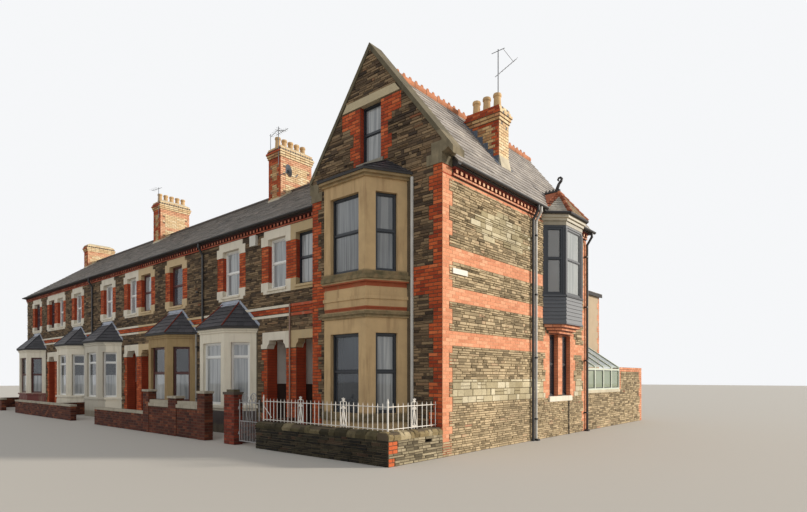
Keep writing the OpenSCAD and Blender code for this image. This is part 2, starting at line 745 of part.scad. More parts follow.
module dressing_stones() {
    for (k = [2:houses])
        translate([wide_c(k), 0, 0]) window_stones(wide_win / 2, ear, ear, 1);
    for (k = [1:houses]) translate([narrow_c(k), 0, 0])
        window_stones(narrow_win / 2, ear, twin_gap / 2, -side(k));
}
module attic_stones() {
    w = attic_sash[0];
    box([w[0] - w[3] / 2 - 90, -50, w[4] - 90], [w[0] + w[3] / 2 + 90, stone_in, w[4]]);
    band = [[cop_x(w[5] + 60), w[5]], [cop_x(w[5] + attic_band + 60), w[5] + attic_band]];
    along_y(-lintel_y, stone_in, concat(mirror_pts(band), band));
}
module slit_stones() {
    box([-stone_in, slit_y - slit_off - slit_w / 2 - 60, slit_sill - 140],
        [50, slit_y + slit_off + slit_w / 2 + 60, slit_sill]);
}
module upper_dressings() {
    color("ivory") {
        intersection() {
            dressing_stones();
            box([row_x0, -5000, 0], [-wing_w, 5000, 9000]);
        }
        attic_stones();
        slit_stones();
    }
}
module string_course() {
    color("ivory") difference() {
        for (z = [band_z0, band_z1 - strip_h])
            box([row_end, front_y - strip_out, z], [-wing_w, front_y, z + strip_h]);
        for (k = [2:houses]) row_bay_roof(k);
    }
}
// Shouldered lintels over the twin porches
module lintel_stones() {
    for (k = [1:houses]) {
        s = side(k);
        c = pair_line(k);
        a = pier_half;
        b = pier_half + porch_w;
        pts = [[0, split_z], [b + 210, split_z], [b + 210, porch_spring + 130],
            [b + 280, porch_spring + 130], [b + 280, porch_spring], [b, porch_spring],
            [b - shoulder * 0.3, porch_spring + 90], [b - shoulder, porch_spring + 150],
            [b - shoulder, porch_head], [a + shoulder, porch_head],
            [a + shoulder, porch_spring + 150], [a + shoulder * 0.3, porch_spring + 90],
            [a, porch_spring], [0, porch_spring]];
        intersection() {
            along_y(front_y - 25, front_y + 220, [for (p = pts) [c + s * p[0], p[1]]]);
            box([row_x0, -5000, 0], [-wing_w, 5000, 9000]);
        }
    }
}
module porch_lintels() {
    color("ivory") {
        lintel_stones();
        for (k = [1:houses]) box([porch_c(k) - porch_w / 2, front_y + 220, porch_head],
            [porch_c(k) + porch_w / 2, inner_y, split_z]);
    }
}
// Side wall, back wall and ceiling of each porch, as plain slabs a hair apart
door_w = 820;
door_top = 2600;
door_in = pier_half + 20;
lining_x = pier_half + porch_w + 60;
porch_back = front_y + porch_d;
module porch_lining(k) {
    s = side(k);
    c = pair_line(k);
    ceil_z = porch_head + 150;
    box_x(c, s, lining_x, lining_x + lining_t, inner_y, porch_back + lining_t, 0, head_z);
    box_x(c, s, party_t / 2, door_in, porch_back, porch_back + lining_t, 0, door_top);
    box_x(c, s, door_in + door_w, lining_x - seam, porch_back, porch_back + lining_t, 0,
        door_top);
    box_x(c, s, party_t / 2, lining_x - seam, porch_back, porch_back + lining_t,
        door_top + seam, head_z);
    box_x(c, s, party_t / 2, lining_x - seam, inner_y, porch_back - seam, ceil_z, head_z);
}
// A box that starts at c and runs to one side of it
module box_x(c, s, a, b, y0, y1, z0, z1) {
    box([min(c + s * a, c + s * b), y0, z0], [max(c + s * a, c + s * b), y1, z1]);
}
module porch_linings() {
    color("lightgray") for (k = [1:houses]) porch_lining(k);
}
module front_doors() {
    color("saddlebrown") for (k = [1:houses]) {
        s = side(k);
        c = pair_line(k);
        y = porch_back + 20;
        a = door_in;
        difference() {
            box_x(c, s, a, a + door_w, y, y + 55, floor0_z, door_top);
            box_x(c, s, a + 60, a + door_w - 60, y - 1, y + 56, 2270, 2540);
            for (i = [0, 1]) for (z = [[floor0_z + 160, 850], [1000, 2050]])
                box_x(c, s, a + 150 + i * 280, a + 390 + i * 280, y - 1, y + 12, z[0], z[1]);
        }
        box_x(c, s, a + 60, a + door_w - 60, y + 25, y + 31, 2270, 2540);
    }
}

// Brick eaves course with dentils, drawn facing the front from x = 0
dentil_pitch = 163;
module dentil_run(len) {
    n = floor(len / dentil_pitch);
    box([0, -40, soffit_z - 170], [len, 0, soffit_z - 120]);
    box([0, -85, soffit_z - 40], [len, 0, soffit_z]);
    for (i = [0:n - 1]) box([(i + 0.5) * len / n - 40, -70, soffit_z - 120],
        [(i + 0.5) * len / n + 40, 0, soffit_z - 40]);
}
oriel_out = oriel_base + 160;
module eaves_dentils() {
    color("firebrick") {
        translate([row_end, front_y, 0]) dentil_run(-wing_w - row_end);
        translate([0, wall_t, 0]) rotate(90) dentil_run(oriel_y - oriel_out - wall_t);
        translate([0, oriel_y + oriel_out, 0]) rotate(90)
            dentil_run(depth - oriel_y - oriel_out);
    }
}
gutter_r = 55;
module gutter(len) {
    translate([0, -eaves_over - gutter_r, eaves_z - 30]) rotate([90, 0, 90])
        linear_extrude(len) difference() {
            circle(r = gutter_r);
            circle(r = gutter_r - 6);
            translate([-100, 0]) square([200, 100]);
        }
}
module gutters() {
    color("black") {
        translate([row_end - verge, front_y, 0])
            gutter(-wing_w - foot_left - seam - row_end + verge);
        translate([0, wall_t + 20, 0]) rotate(90) gutter(oriel_y - oriel_out - wall_t - 20);
        translate([0, oriel_y + oriel_out, 0]) rotate(90)
            gutter(depth + eaves_over - oriel_y - oriel_out);
        translate([-wing_w - eaves_over, depth, 0]) rotate(180)
            gutter(-wing_w - eaves_over - row_end + verge);
    }
}
// A round pipe through a list of points
module pipe(pts, r) {
    for (i = [0:len(pts) - 2]) {
        d = pts[i + 1] - pts[i];
        translate(pts[i]) rotate([0, acos(d[2] / norm(d)), atan2(d[1], d[0])])
            cylinder(h = norm(d), r = r);
        if (i > 0) translate(pts[i]) sphere(r = r + pipe_collar);
    }
}
pipe_r = 34;
pipe_collar = 5;
module flank_pipe(y, foot) {
    x = pipe_r + strip_out + seam;
    top = eaves_z - 30 - gutter_r - seam;
    pipe([[eaves_over + gutter_r, y, top], [eaves_over + gutter_r, y, eaves_z - 200],
        [x, y, eaves_z - 420], [x, y, foot]], pipe_r);
}
module bay_pipe(x, y, z) {
    translate([x, y - pipe_r - seam, 0]) cylinder(h = z, r = pipe_r);
}
row_pipe = 150;
pier_pipe_r = 22;
flank_pipes = [oriel_y - oriel_out - 500, oriel_y - oriel_out - 340, depth - 60];
module downpipes() {
    color("dimgray") {
        for (y = flank_pipes) flank_pipe(y, 0);
        for (k = [2:2:houses - 1]) translate([line(k) + row_pipe, front_y, 0]) rotate(-90)
            flank_pipe(0, 0);
        bay_pipe(wing_mid + ebay_base + 160, 0, ebay_top - 60);
        bay_pipe(bay_c(3) + rbay_base + 110, front_y, rbay_top);
        translate([line(1), front_y - strip_out - pier_pipe_r - seam, 0])
            cylinder(h = band_z1, r = pier_pipe_r);
    }
}

// Chimneys
stack_foot = 7000;
module stack_base(x) {
    box([x - stack_w / 2, stack_y, stack_foot], [x + stack_w / 2, stack_y + stack_l, 15000]);
}
module stack(x0, x1, y0, y1, z0, top) {
    box([x0, y0, z0], [x1, y1, top - 380]);
    for (l = [[380, 300, 25], [300, 220, 50], [220, 150, 75], [150, 75, 40], [75, 0, 15]])
        box([x0 - l[2], y0 - l[2], top - l[0]], [x1 + l[2], y1 + l[2], top - l[1]]);
}
module party_chimneys() {
    color("indianred") {
        for (s = stacks) if (s[0] > row_end) stack(s[0], s[1], s[2], s[3], stack_foot, stack_top);
        stack(row_end, row_end + end_stack_w, stack_y, stack_y + stack_l, stack_foot,
            end_stack_top);
    }
}
module main_stack() {
    stack(-main_x - main_w, -main_x, main_y, main_y + main_d, floor2_z, main_top);
}
module wing_chimney() {
    color("indianred") main_stack();
}
module pot() {
    rotate_extrude() polygon([[0, 0], [115, 0], [115, 40], [102, 60], [90, pot_h - 100],
        [110, pot_h - 75], [110, pot_h - 30], [98, pot_h], [78, pot_h], [78, pot_h - 260],
        [0, pot_h - 260]]);
}
module chimney_pots() {
    color("peru") {
        for (s = stacks) if (s[0] > row_end) for (i = [0:4])
            translate([(s[0] + s[1]) / 2, s[2] + stack_l * (i + 0.5) / 5, stack_top]) pot();
        for (i = [0:2]) translate([-main_x - main_w * (i + 0.6) / 3, main_y + main_d / 2, main_top])
            pot();
    }
}

// Windows
all_sashes = concat(bay_sashes, front_sashes, attic_sash, flank_sashes, rear_sashes);
module frames(g) {
    for (w = all_sashes) if (w[7] == g) sash_frame(w);
}
module dark_window_frames() {
    color("darkslategray") {
        frames(0);
        on_flank() for (w = oriel_sashes) sash_frame(w);
    }
}
module white_window_frames() {
    color("white") {
        frames(1);
        annexe_frames();
    }
}
module red_window_frames() {
    color("darkred") frames(2);
}
module window_glass() {
    color("lightblue", 0.5) {
        for (w = all_sashes) sash_glass(w);
        on_flank() for (w = oriel_sashes) sash_glass(w);
        for (w = annexe_sashes) sash_glass(w);
        conservatory_panes();
    }
}

// Garden
stone_cope = 130;
module stone_garden_wall() {
    color("dimgray") {
        difference() {
            union() {
                box([-stone_end, -garden_y, 0], [0, -garden_y + stone_t, stone_h - stone_cope]);
                box([-stone_t, -garden_y, 0], [0, 0, stone_h - stone_cope]);
            }
            box([-stone_t - 1, -560, 350], [1, -360, 410]);
        }
        hull_cope(-stone_end, 0, -garden_y, -garden_y + stone_t);
        intersection() {
            along_y(-garden_y, 0, cope_pts(-stone_t, 0));
            box([-stone_t, -garden_y + 1, 0], [0, 0, stone_h + 1000]);
        }
    }
}
function cope_pts(a, b) = [[a, stone_h - stone_cope], [b, stone_h - stone_cope],
    [b, stone_h - 50], [b - 50, stone_h], [a + 50, stone_h], [a, stone_h - 50]];
module hull_cope(x0, x1, y0, y1) {
    along_x(x0, x1, cope_pts(y0, y1));
}
rail_y = -garden_y + stone_t / 2;
rail_x = -stone_t / 2;
rail_top = 1060;
bar_r = 8;
module bar(x, y, top) {
    translate([x, y, stone_h]) cylinder(h = top - stone_h, r = bar_r, $fn = 8);
    translate([x, y, top]) cylinder(h = 50, r1 = bar_r, r2 = 1, $fn = 8);
}
panel_gap = 150;
panel_at = [0.37, 0.717];
front_panels = [for (t = panel_at) rail_x * t - (stone_end - 80) * (1 - t)];
side_panel = rail_y * 0.483;
module cast_panel() {
    for (s = [-1, 1]) {
        box([s * 60 - 9, -9, stone_h], [s * 60 + 9, 9, rail_top + 60]);
        translate([s * 30, 0, 700]) rotate([0, -s * 7, 0]) cylinder(h = 280, r = 8, $fn = 8);
    }
    box([-10, -8, stone_h], [10, 8, rail_top + 130]);
    translate([0, 8, rail_top + 80]) rotate([90, 0, 0]) cylinder(h = 16, r = 38);
    translate([0, 8, stone_h + 60]) rotate([90, 0, 0]) cylinder(h = 16, r = 45);
}
module garden_railing() {
    color("white") {
        difference() {
            union() {
                for (z = [stone_h + 35, rail_top]) {
                    box([-stone_end + 60, rail_y - 14, z - 6], [rail_x, rail_y + 14, z + 6]);
                    box([rail_x - 14, rail_y, z - 6], [rail_x + 14, -15, z + 6]);
                }
                n = 30;
                for (i = [1:n - 1]) {
                    x = rail_x + (-stone_end + 80 - rail_x) * i / n;
                    if (min([for (p = front_panels) abs(x - p)]) > 95) bar(x, rail_y, rail_top + 20);
                }
                for (i = [1:10]) {
                    y = rail_y + (-30 - rail_y) * i / 10;
                    if (abs(y - side_panel) > 95) bar(rail_x, y, rail_top + 20);
                }
                for (p = front_panels) translate([p, rail_y, 0]) cast_panel();
                translate([rail_x, side_panel, 0]) rotate(90) cast_panel();
                translate([rail_x, rail_y, stone_h]) {
                    cylinder(h = 590, r = 18);
                    translate([0, 0, 590]) sphere(r = 26);
                }
                translate([-stone_end + 80, rail_y, stone_h]) {
                    cylinder(h = 590, r = 18);
                    translate([0, 0, 590]) sphere(r = 26);
                }
                translate([-stone_end + 95, rail_y, stone_h + 330]) rotate([0, 130, 0])
                    cylinder(h = 380, r = 7, $fn = 8);
            }
            box([-20000, -3000, 0], [100, 100, stone_h]);
        }
    }
}
gate_x0 = -stone_end - gate_w;
gate_y = -garden_y + pier_d / 2;
pin_r = 8;
pin_x = gate_x0 + 32;
hinge_z = [260, 860];
leaf_x0 = pin_x + 22;
leaf_x1 = -stone_end - 25;
module gate_hooks() {
    color("black") for (z = hinge_z) {
        translate([pin_x, gate_y, z]) cylinder(h = 60, r = pin_r);
        box([gate_x0, gate_y - 10, z - 16], [pin_x + pin_r, gate_y + 10, z]);
    }
}
gate_low = 90;
gate_mid = 560;
module gate() {
    color("dimgray") {
        difference() {
            union() {
                for (z = hinge_z) {
                    translate([pin_x, gate_y, z + 2]) cylinder(h = 36, r = pin_r + 8);
                    box([pin_x, gate_y - 5, z + 2], [leaf_x0 + 2, gate_y + 5, z + 38]);
                }
            }
            for (z = hinge_z) translate([pin_x, gate_y, z - 1])
                cylinder(h = 80, r = pin_r + 0.4);
        }
        for (x = [leaf_x0, leaf_x1 - 24]) box([x, gate_y - 8, gate_low], [x + 24, gate_y + 8, gate_rail + 60]);
        for (z = [gate_low, gate_mid, gate_rail - 20])
            box([leaf_x0 + 24, gate_y - 8, z], [leaf_x1 - 24, gate_y + 8, z + 20]);
        w = leaf_x1 - leaf_x0 - 48;
        for (i = [1:5]) translate([leaf_x0 + 24 + w * i / 6, gate_y, gate_mid + 10])
            cylinder(h = gate_rail + 50 - gate_mid, r = 7, $fn = 8);
        for (i = [1:11]) translate([leaf_x0 + 24 + w * i / 12, gate_y, gate_low + 10])
            cylinder(h = gate_mid - gate_low, r = 7, $fn = 8);
        for (s = [0, 1]) translate([s == 0 ? leaf_x0 + 24 + w * 0.27 : leaf_x0 + 24 + w * 0.73,
            gate_y + 6, gate_rail + 110]) rotate([90, 0, 0]) difference() {
                cylinder(h = 12, r = 112);
                translate([0, 0, -1]) cylinder(h = 14, r = 98);
            }
    }
}
tall_pier_w = 360;
low_pier_w = 450;
pier_b_h = 1030;
wall2_h = 780;
pier_c = gate_x0 - gate_pier_w - 1280;
pier_list = [[gate_x0 - gate_pier_w, gate_pier_w, pier_h], [pier_c, tall_pier_w, pier_h],
    [line(2) + 1810, low_pier_w, pier_b_h], [line(2) + 240, tall_pier_w, pier_h]];
low_h = 520;
path_half = 1150;
low_runs = concat([[line(3) + path_half, pier_list[3][0]]],
    [[line(5) + path_half, line(3) - path_half], [row_end, line(5) - path_half]]);
module brick_garden_walls() {
    color("brown") {
        for (p = pier_list) box([p[0], -garden_y, 0], [p[0] + p[1], -garden_y + pier_d, p[2]]);
        for (i = [2, 3]) box([pier_list[i][0] + pier_list[i][1], -garden_y + 20, 0],
            [pier_list[i - 1][0], -garden_y + pier_d - 20, wall2_h]);
        for (r = low_runs) box([r[0], -garden_y + 20, 0], [r[1], -garden_y + pier_d - 20, low_h]);
        for (k = [1, 2, 4, houses]) dividing_wall(k);
    }
}
module dividing_wall(k) {
    x = k == 1 ? gate_x0 - gate_pier_w + 140 : k == houses ? row_end + 100 : line(k);
    box([x - 100, -garden_y + pier_d - 21, 0], [x + 100, front_y, low_h]);
}
module garden_copings() {
    color("ivory") {
        for (p = pier_list) box([p[0] - 25, -garden_y - 25, p[2]],
            [p[0] + p[1] + 25, -garden_y + pier_d + 25, p[2] + 60]);
        for (i = [2, 3]) {
            a = pier_list[i][0] + pier_list[i][1];
            b = pier_list[i - 1][0];
            box([a, -garden_y - 10, wall2_h], [b, -garden_y + pier_d + 10, wall2_h + 90]);
            box([a, -garden_y + 30, wall2_h + 90], [b, -garden_y + pier_d - 30, wall2_h + 180]);
        }
        for (r = low_runs) box([r[0], -garden_y, low_h], [r[1], -garden_y + pier_d, low_h + 70]);
    }
}

// Rear annexes, one block for each pair of houses
function ann_r(p) = p == 1 ? -annexe_x : line(p) + annexe_w;
function ann_l(p) = line(p) - annexe_w;
ann_y1 = depth + annexe_l;
ann_pitch = 12;
function ann_mid(p) = (ann_r(p) + ann_l(p)) / 2;
function ann_rise(p) = (ann_r(p) - ann_mid(p)) * tan(ann_pitch);
annexe_sashes = [for (p = [1, 3, 5]) for (f = [0, 1]) each [
    for (s = [-1, 1]) [line(p) + s * 1550, ann_y1, 180, 800, f == 0 ? 1150 : 3350,
        f == 0 ? 2350 : 4350, f == 0 ? 1750 : 3900, 1, 80]]];
module annexe_walls() {
    color("beige") for (p = [1, 3, 5]) difference() {
        along_y(depth, ann_y1, [[ann_l(p), 0], [ann_r(p), 0], [ann_r(p), annexe_h],
            [ann_mid(p), annexe_h + ann_rise(p)], [ann_l(p), annexe_h]]);
        for (s = [0, 1]) box([s == 0 ? ann_l(p) + party_t : line(p) + party_t / 2, depth - 1, -1],
            [s == 0 ? line(p) - party_t / 2 : ann_r(p) - party_t, ann_y1 - party_t, 9000]);
        for (w = annexe_sashes) hole(w, party_t);
    }
}
module annexe_frames() {
    for (w = annexe_sashes) sash_frame(w);
}
ann_roof_t = 110;
module annexe_roofs() {
    color("slategray") for (p = [1, 3, 5]) {
        r = ann_r(p) + 100;
        l = ann_l(p) - 100;
        z = annexe_h - 100 * tan(ann_pitch) + seam;
        top = annexe_h + ann_rise(p) + seam;
        along_y(depth, ann_y1 + 80, [[l, z], [ann_mid(p), top], [r, z], [r, z + ann_roof_t],
            [ann_mid(p), top + ann_roof_t], [l, z + ann_roof_t]]);
    }
}
// Lean-to conservatory between the annexe and the lane
dwarf_h = 1200;
cons_y1 = depth + cons_l;
cons_post = 60;
module conservatory_frame() {
    color("darkseagreen") {
        for (i = [0:4]) {
            y = depth + (cons_l - cons_post) * i / 4;
            box([-cons_post, y, dwarf_h], [0, y + cons_post, cons_low - 60]);
            along_y(y, y + cons_post, [[0, cons_low - 60], [0, cons_low],
                [-annexe_x, cons_high], [-annexe_x, cons_high - 60]]);
        }
        for (z = [dwarf_h, cons_low - 120])
            box([-cons_post, depth, z], [0, cons_y1, z + 60]);
        box([-annexe_x + 0, cons_y1 - cons_post, dwarf_h], [0, cons_y1, dwarf_h + 60]);
    }
}
module conservatory_panes() {
    for (i = [0:3]) {
        y0 = depth + (cons_l - cons_post) * i / 4 + cons_post;
        y1 = depth + (cons_l - cons_post) * (i + 1) / 4;
        box([-33, y0, dwarf_h + 60], [-27, y1, cons_low - 120]);
        along_y(y0, y1, [[0, cons_low - 30], [0, cons_low - 22],
            [-annexe_x, cons_high - 22], [-annexe_x, cons_high - 30]]);
    }
}
yard_h = 1950;
module yard_wall() {
    color("dimgray") {
        box([-party_t, depth, 0], [0, cons_y1, dwarf_h]);
        box([-annexe_x, cons_y1 - party_t, 0], [0, cons_y1, dwarf_h]);
        box([-party_t, cons_y1, 0], [0, ann_y1, yard_h]);
        box([-annexe_x, ann_y1 - party_t, 0], [0, ann_y1, yard_h]);
    }
}
module rod(a, b, r) {
    d = b - a;
    translate(a) rotate([0, acos(d[2] / norm(d)), atan2(d[1], d[0])])
        cylinder(h = norm(d), r = r);
}
mast_h = 1800;
boom = [0.38, 0.62, 0.68];
cross = [-0.85, 0.52, 0];
module roof_aerials() {
    color("silver") {
        m = [-main_x - main_w * 0.38, main_y + main_d + corbel + 15, main_top];
        rod(m - [0, 0, 380], m + [0, 0, mast_h], 15);
        c = m + [0, 0, mast_h * 0.63];
        rod(c - boom * 120, c + boom * 750, 9);
        for (i = [0:5]) rod(c + boom * (120 + i * 120) + cross * 110,
            c + boom * (120 + i * 120) - cross * 110, 4);
        t = m + [0, 0, mast_h - 40];
        rod(t - [200, 0, 0], t + [200, 0, 0], 9);
        rod(t + [150, 0, 0], c + boom * 620, 6);
    }
}

terrace_ground_wall();
terrace_upper_wall();
wing_gable_wall();
flank_wall();
rear_wall();
party_walls();
end_party_wall();
floors();
terrace_roof_front();
terrace_roof_rear();
wing_roof_street();
wing_roof_inner();
ridge_tiles();
gable_coping();
end_bay_lower();
end_bay_upper();
end_bay_roof();
painted_bays();
sandstone_bay();
row_bay_roofs();
oriel_body();
oriel_roof();
upper_dressings();
string_course();
porch_lintels();
porch_linings();
front_doors();
eaves_dentils();
gutters();
downpipes();
wing_chimney();
party_chimneys();
chimney_pots();
dark_window_frames();
white_window_frames();
red_window_frames();
window_glass();
stone_garden_wall();
garden_railing();
gate_hooks();
gate();
brick_garden_walls();
garden_copings();
annexe_walls();
annexe_roofs();
conservatory_frame();
yard_wall();
roof_aerials();
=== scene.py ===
"""Looks of the terraced house row: walling, slates, fittings, materials, light and camera.

Metres, with X along the street front (the row runs to -X), Y into the plot and Z up.
"""
import math
import random

import bpy
import numpy as np
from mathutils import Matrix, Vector


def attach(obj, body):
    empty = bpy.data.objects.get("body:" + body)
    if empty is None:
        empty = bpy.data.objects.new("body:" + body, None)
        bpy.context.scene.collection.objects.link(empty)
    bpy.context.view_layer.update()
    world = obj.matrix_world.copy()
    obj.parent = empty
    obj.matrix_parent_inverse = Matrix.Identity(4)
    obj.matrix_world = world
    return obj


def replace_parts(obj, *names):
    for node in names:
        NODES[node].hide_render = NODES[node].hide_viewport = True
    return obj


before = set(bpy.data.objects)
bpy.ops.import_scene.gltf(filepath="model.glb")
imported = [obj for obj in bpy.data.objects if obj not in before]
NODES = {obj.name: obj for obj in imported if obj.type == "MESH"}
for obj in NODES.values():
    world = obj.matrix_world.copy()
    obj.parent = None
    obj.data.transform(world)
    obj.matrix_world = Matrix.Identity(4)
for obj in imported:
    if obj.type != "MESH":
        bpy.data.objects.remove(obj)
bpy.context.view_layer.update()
R = random.Random(11)

# Sizes
HOUSES = 6
END_FRONT, HOUSE_FRONT = 5.37, 4.69  # widths of the end house and of the others
BAY, WINDOW, PORCH = 2.95, 0.625, 0.65  # centres, from the line a pair of houses shares
FY, DEPTH = 0.40, 7.25  # faces of the terrace's front and rear walls
RIDGE_Y = (FY + DEPTH) / 2
WALL = 0.33
EAVES, OVER = 5.99, 0.15
PT, PW, PA = (math.radians(a) for a in (35, 52, 12))  # pitches of terrace, wing and annexes
WING, HALF, MID = 4.0, 2.0, -2.0  # width of the wing, half of it, its middle
T_RIDGE = EAVES + (RIDGE_Y - FY + OVER) * math.tan(PT)
W_RIDGE = EAVES + (HALF + OVER) * math.tan(PW)
VALLEY_X = MID - (W_RIDGE - T_RIDGE) / math.tan(PW)
COURSE, BRICK = 0.075, 0.225  # height and length of a brick with its joint
QUOIN = (0.225, 0.34)  # narrow and wide teeth of the main corners
BRICK_TOP = 5.73  # foot of the eaves courses
E = 0.005  # how far bricks run past a corner
UP = Vector((0, 0, 1))

def line(k):
    """X of the party line on the far side of house k."""
    return 0.0 if k == 0 else -(END_FRONT + (k - 1) * HOUSE_FRONT)
def pair_line(k):
    """X of the line that house k shares with its mirrored neighbour."""
    return line(k - 1) if k % 2 == 0 else line(k)
def side(k):
    return -1 if k % 2 == 0 else 1
def inward(k, d):
    """X that lies d into house k from its pair's line."""
    return pair_line(k) + side(k) * d
ROW_END = line(HOUSES)

# Materials
M = {}

def lin(*c):
    return tuple(v / 255 / 12.92 if v <= 10 else ((v / 255 + 0.055) / 1.055) ** 2.4 for v in c) + (1.0,)
def grey(v):
    return (v, v, v, 1)

class Shade:
    """A material built up node by node, on object coordinates."""
    def __init__(self, name, rough=0.8, metal=0.0, spec=0.5):
        self.m = M[name] = bpy.data.materials.new(name)
        self.m.use_nodes = True
        self.t = self.m.node_tree
        self.b = self.t.nodes["Principled BSDF"]
        self.b.inputs["Roughness"].default_value = rough
        self.b.inputs["Metallic"].default_value = metal
        self.b.inputs["Specular IOR Level"].default_value = spec
        self.co = self.node("ShaderNodeTexCoord").outputs["Object"]
    def node(self, kind, **props):
        n = self.t.nodes.new(kind)
        for k, v in props.items():
            setattr(n, k, v)
        return n
    def set(self, socket, value):
        if hasattr(value, "is_output"):
            self.t.links.new(value, socket)
        else:
            socket.default_value = value
    def stretch(self, x, y, z):
        n = self.node("ShaderNodeMapping")
        self.set(n.inputs["Vector"], self.co)
        n.inputs["Scale"].default_value = (x, y, z)
        return n.outputs[0]
    def noise(self, scale, detail=4, rough=0.6, vec=None):
        n = self.node("ShaderNodeTexNoise")
        self.set(n.inputs["Vector"], vec or self.co)
        n.inputs["Scale"].default_value = scale
        n.inputs["Detail"].default_value = detail
        n.inputs["Roughness"].default_value = rough
        return n.outputs["Fac"]
    def ramp(self, fac, *stops):
        """Colour by a factor; stops are (position, colour)."""
        n = self.node("ShaderNodeValToRGB")
        self.set(n.inputs[0], fac)
        e = n.color_ramp.elements
        while len(e) < len(stops):
            e.new(0.5)
        for i, (p, c) in enumerate(stops):
            e[i].position = p
            e[i].color = c
        return n.outputs[0]
    def mix(self, fac, a, b, mode="MIX"):
        n = self.node("ShaderNodeMix", data_type="RGBA", blend_type=mode)
        for i, v in ((0, fac), (6, a), (7, b)):
            self.set(n.inputs[i], v)
        return n.outputs[2]
    def math(self, op, a, b=0.0, c=0.0, clamp=False):
        n = self.node("ShaderNodeMath", operation=op, use_clamp=clamp)
        for i, v in enumerate((a, b, c)):
            self.set(n.inputs[i], v)
        return n.outputs[0]
    def speckle(self, c, scale, detail, span):
        """The colour times a noise that runs between the two values of span."""
        shades = self.ramp(self.noise(scale, detail), (0.3, grey(span[0])), (0.7, grey(span[1])))
        return self.mix(1.0, c, shades, "MULTIPLY")
    def attr(self, name):
        return self.node("ShaderNodeAttribute", attribute_name=name).outputs["Fac"]
    def axis(self, i):
        n = self.node("ShaderNodeSeparateXYZ")
        self.set(n.inputs[0], self.co)
        return n.outputs["xyz".index(i)]
    def inside(self, *tests, soft=0.01, wobble=0.0):
        """1 between the limits of every test (axis, low, high)."""
        m = None
        for a, lo, hi in tests:
            c = self.axis(a)
            if wobble:
                c = self.math("MULTIPLY_ADD", self.noise(4, 3), wobble, self.math("ADD", c, -wobble / 2))
            k = self.math("MULTIPLY", self.math("MULTIPLY_ADD", c, 1 / soft, -lo / soft + 0.5, True),
                          self.math("MULTIPLY_ADD", c, -1 / soft, hi / soft + 0.5, True))
            m = k if m is None else self.math("MULTIPLY", m, k)
        return m
    def within(self, *lims):
        """1 in the box x0, x1, y0, y1, z0, z1."""
        return self.inside(*zip("xyz", lims[::2], lims[1::2]), soft=0.02)
    def finish(self, c, height, strength, dist):
        self.set(self.b.inputs["Base Color"], c)
        n = self.node("ShaderNodeBump")
        n.inputs["Strength"].default_value = strength
        n.inputs["Distance"].default_value = dist
        self.set(n.inputs["Height"], height)
        self.set(self.b.inputs["Normal"], n.outputs[0])

def toned(name, *tones, rough=0.9, grain=45, strength=0.35, dirt=(0.72, 1.1), dirt_scale=0.9,
          fine=(0.82, 1.12), spec=0.3):
    """Colour picked for each block by its tone (position, red, green, blue), broken up by noise."""
    s = Shade(name, rough, spec=spec)
    c = s.ramp(s.attr("tone"), *((p, lin(*rgb)) for p, *rgb in tones))
    c = s.speckle(s.speckle(c, 28, 5, fine), dirt_scale, 3, dirt)
    s.finish(c, s.noise(grain, 6, 0.7), strength, 0.012)

def plain(name, base, rough=0.6, grain=60, strength=0.12, var=(0.9, 1.06), streak=None, metal=0.0, parts=(),
          stains=()):
    """One colour with broad variation. streak is (colour, share), parts are (colour, tests) where another
    colour shows, and stains are (colour, share, low, high) for the heights that are dirty."""
    s = Shade(name, rough, metal)
    c = lin(*base)
    for rgb, *tests in parts:
        c = s.mix(s.inside(*tests), c, lin(*rgb))
    c = s.speckle(c, 3.0, 5, var)
    for rgb, share, lo, hi in stains:
        patchy = s.ramp(s.noise(6, 5), (0.3, grey(share * 0.55)), (0.65, grey(share)))
        m = s.math("MULTIPLY", s.inside(("z", lo, hi), soft=0.05, wobble=0.08), patchy)
        c = s.mix(m, c, lin(*rgb))
    if streak:
        v = s.noise(1.0, 4, 0.6, s.stretch(7, 7, 0.8))
        c = s.mix(s.ramp(v, (0.52, grey(0)), (0.75, grey(streak[1]))), c, lin(*streak[0]))
    s.finish(c, s.noise(grain, 5), strength, 0.004)

def walling(name, mortar, reveal, joint, planes):
    """Mortar on the face of a wall, and brickwork inside its openings."""
    s = Shade(name, 0.93, spec=0.3)
    inner = None
    for test in planes:
        k = s.inside(test, soft=0.004)
        inner = k if inner is None else s.math("MAXIMUM", inner, k)
    course = s.math("LESS_THAN", s.math("PINGPONG", s.axis("z"), COURSE / 2), 0.004)
    brick = s.mix(course, lin(*reveal), lin(*joint))
    s.finish(s.speckle(s.mix(inner, lin(*mortar), brick), 3.0, 5, (0.72, 1.1)), s.noise(90, 5), 0.35, 0.004)

# The flank's copy has paler mortar and paler bricks in its openings than the front's: painted sunlight.
walling("mortar_front", (92, 80, 63), (168, 68, 40), (96, 58, 40), [("y", 0.006, 0.392), ("y", 0.406, 0.73)])
walling("mortar_sunlit", (104, 90, 68), (214, 134, 96), (150, 100, 74), [("x", -0.324, -0.006)])

# One stone in two copies: darker for the shaded street front and gable, paler for the sunlit flank, rear and
# yard wall. The difference between them is painted light and shade.
toned("rubble_shaded", (0, 60, 49, 40), (0.3, 96, 78, 60), (0.6, 124, 102, 77), (0.85, 150, 126, 96),
      (1, 132, 84, 58))
toned("rubble_sunlit", (0, 118, 103, 78), (0.2, 152, 134, 104), (0.5, 180, 160, 126), (0.85, 202, 180, 144),
      (1, 176, 132, 104), fine=(0.86, 1.1))
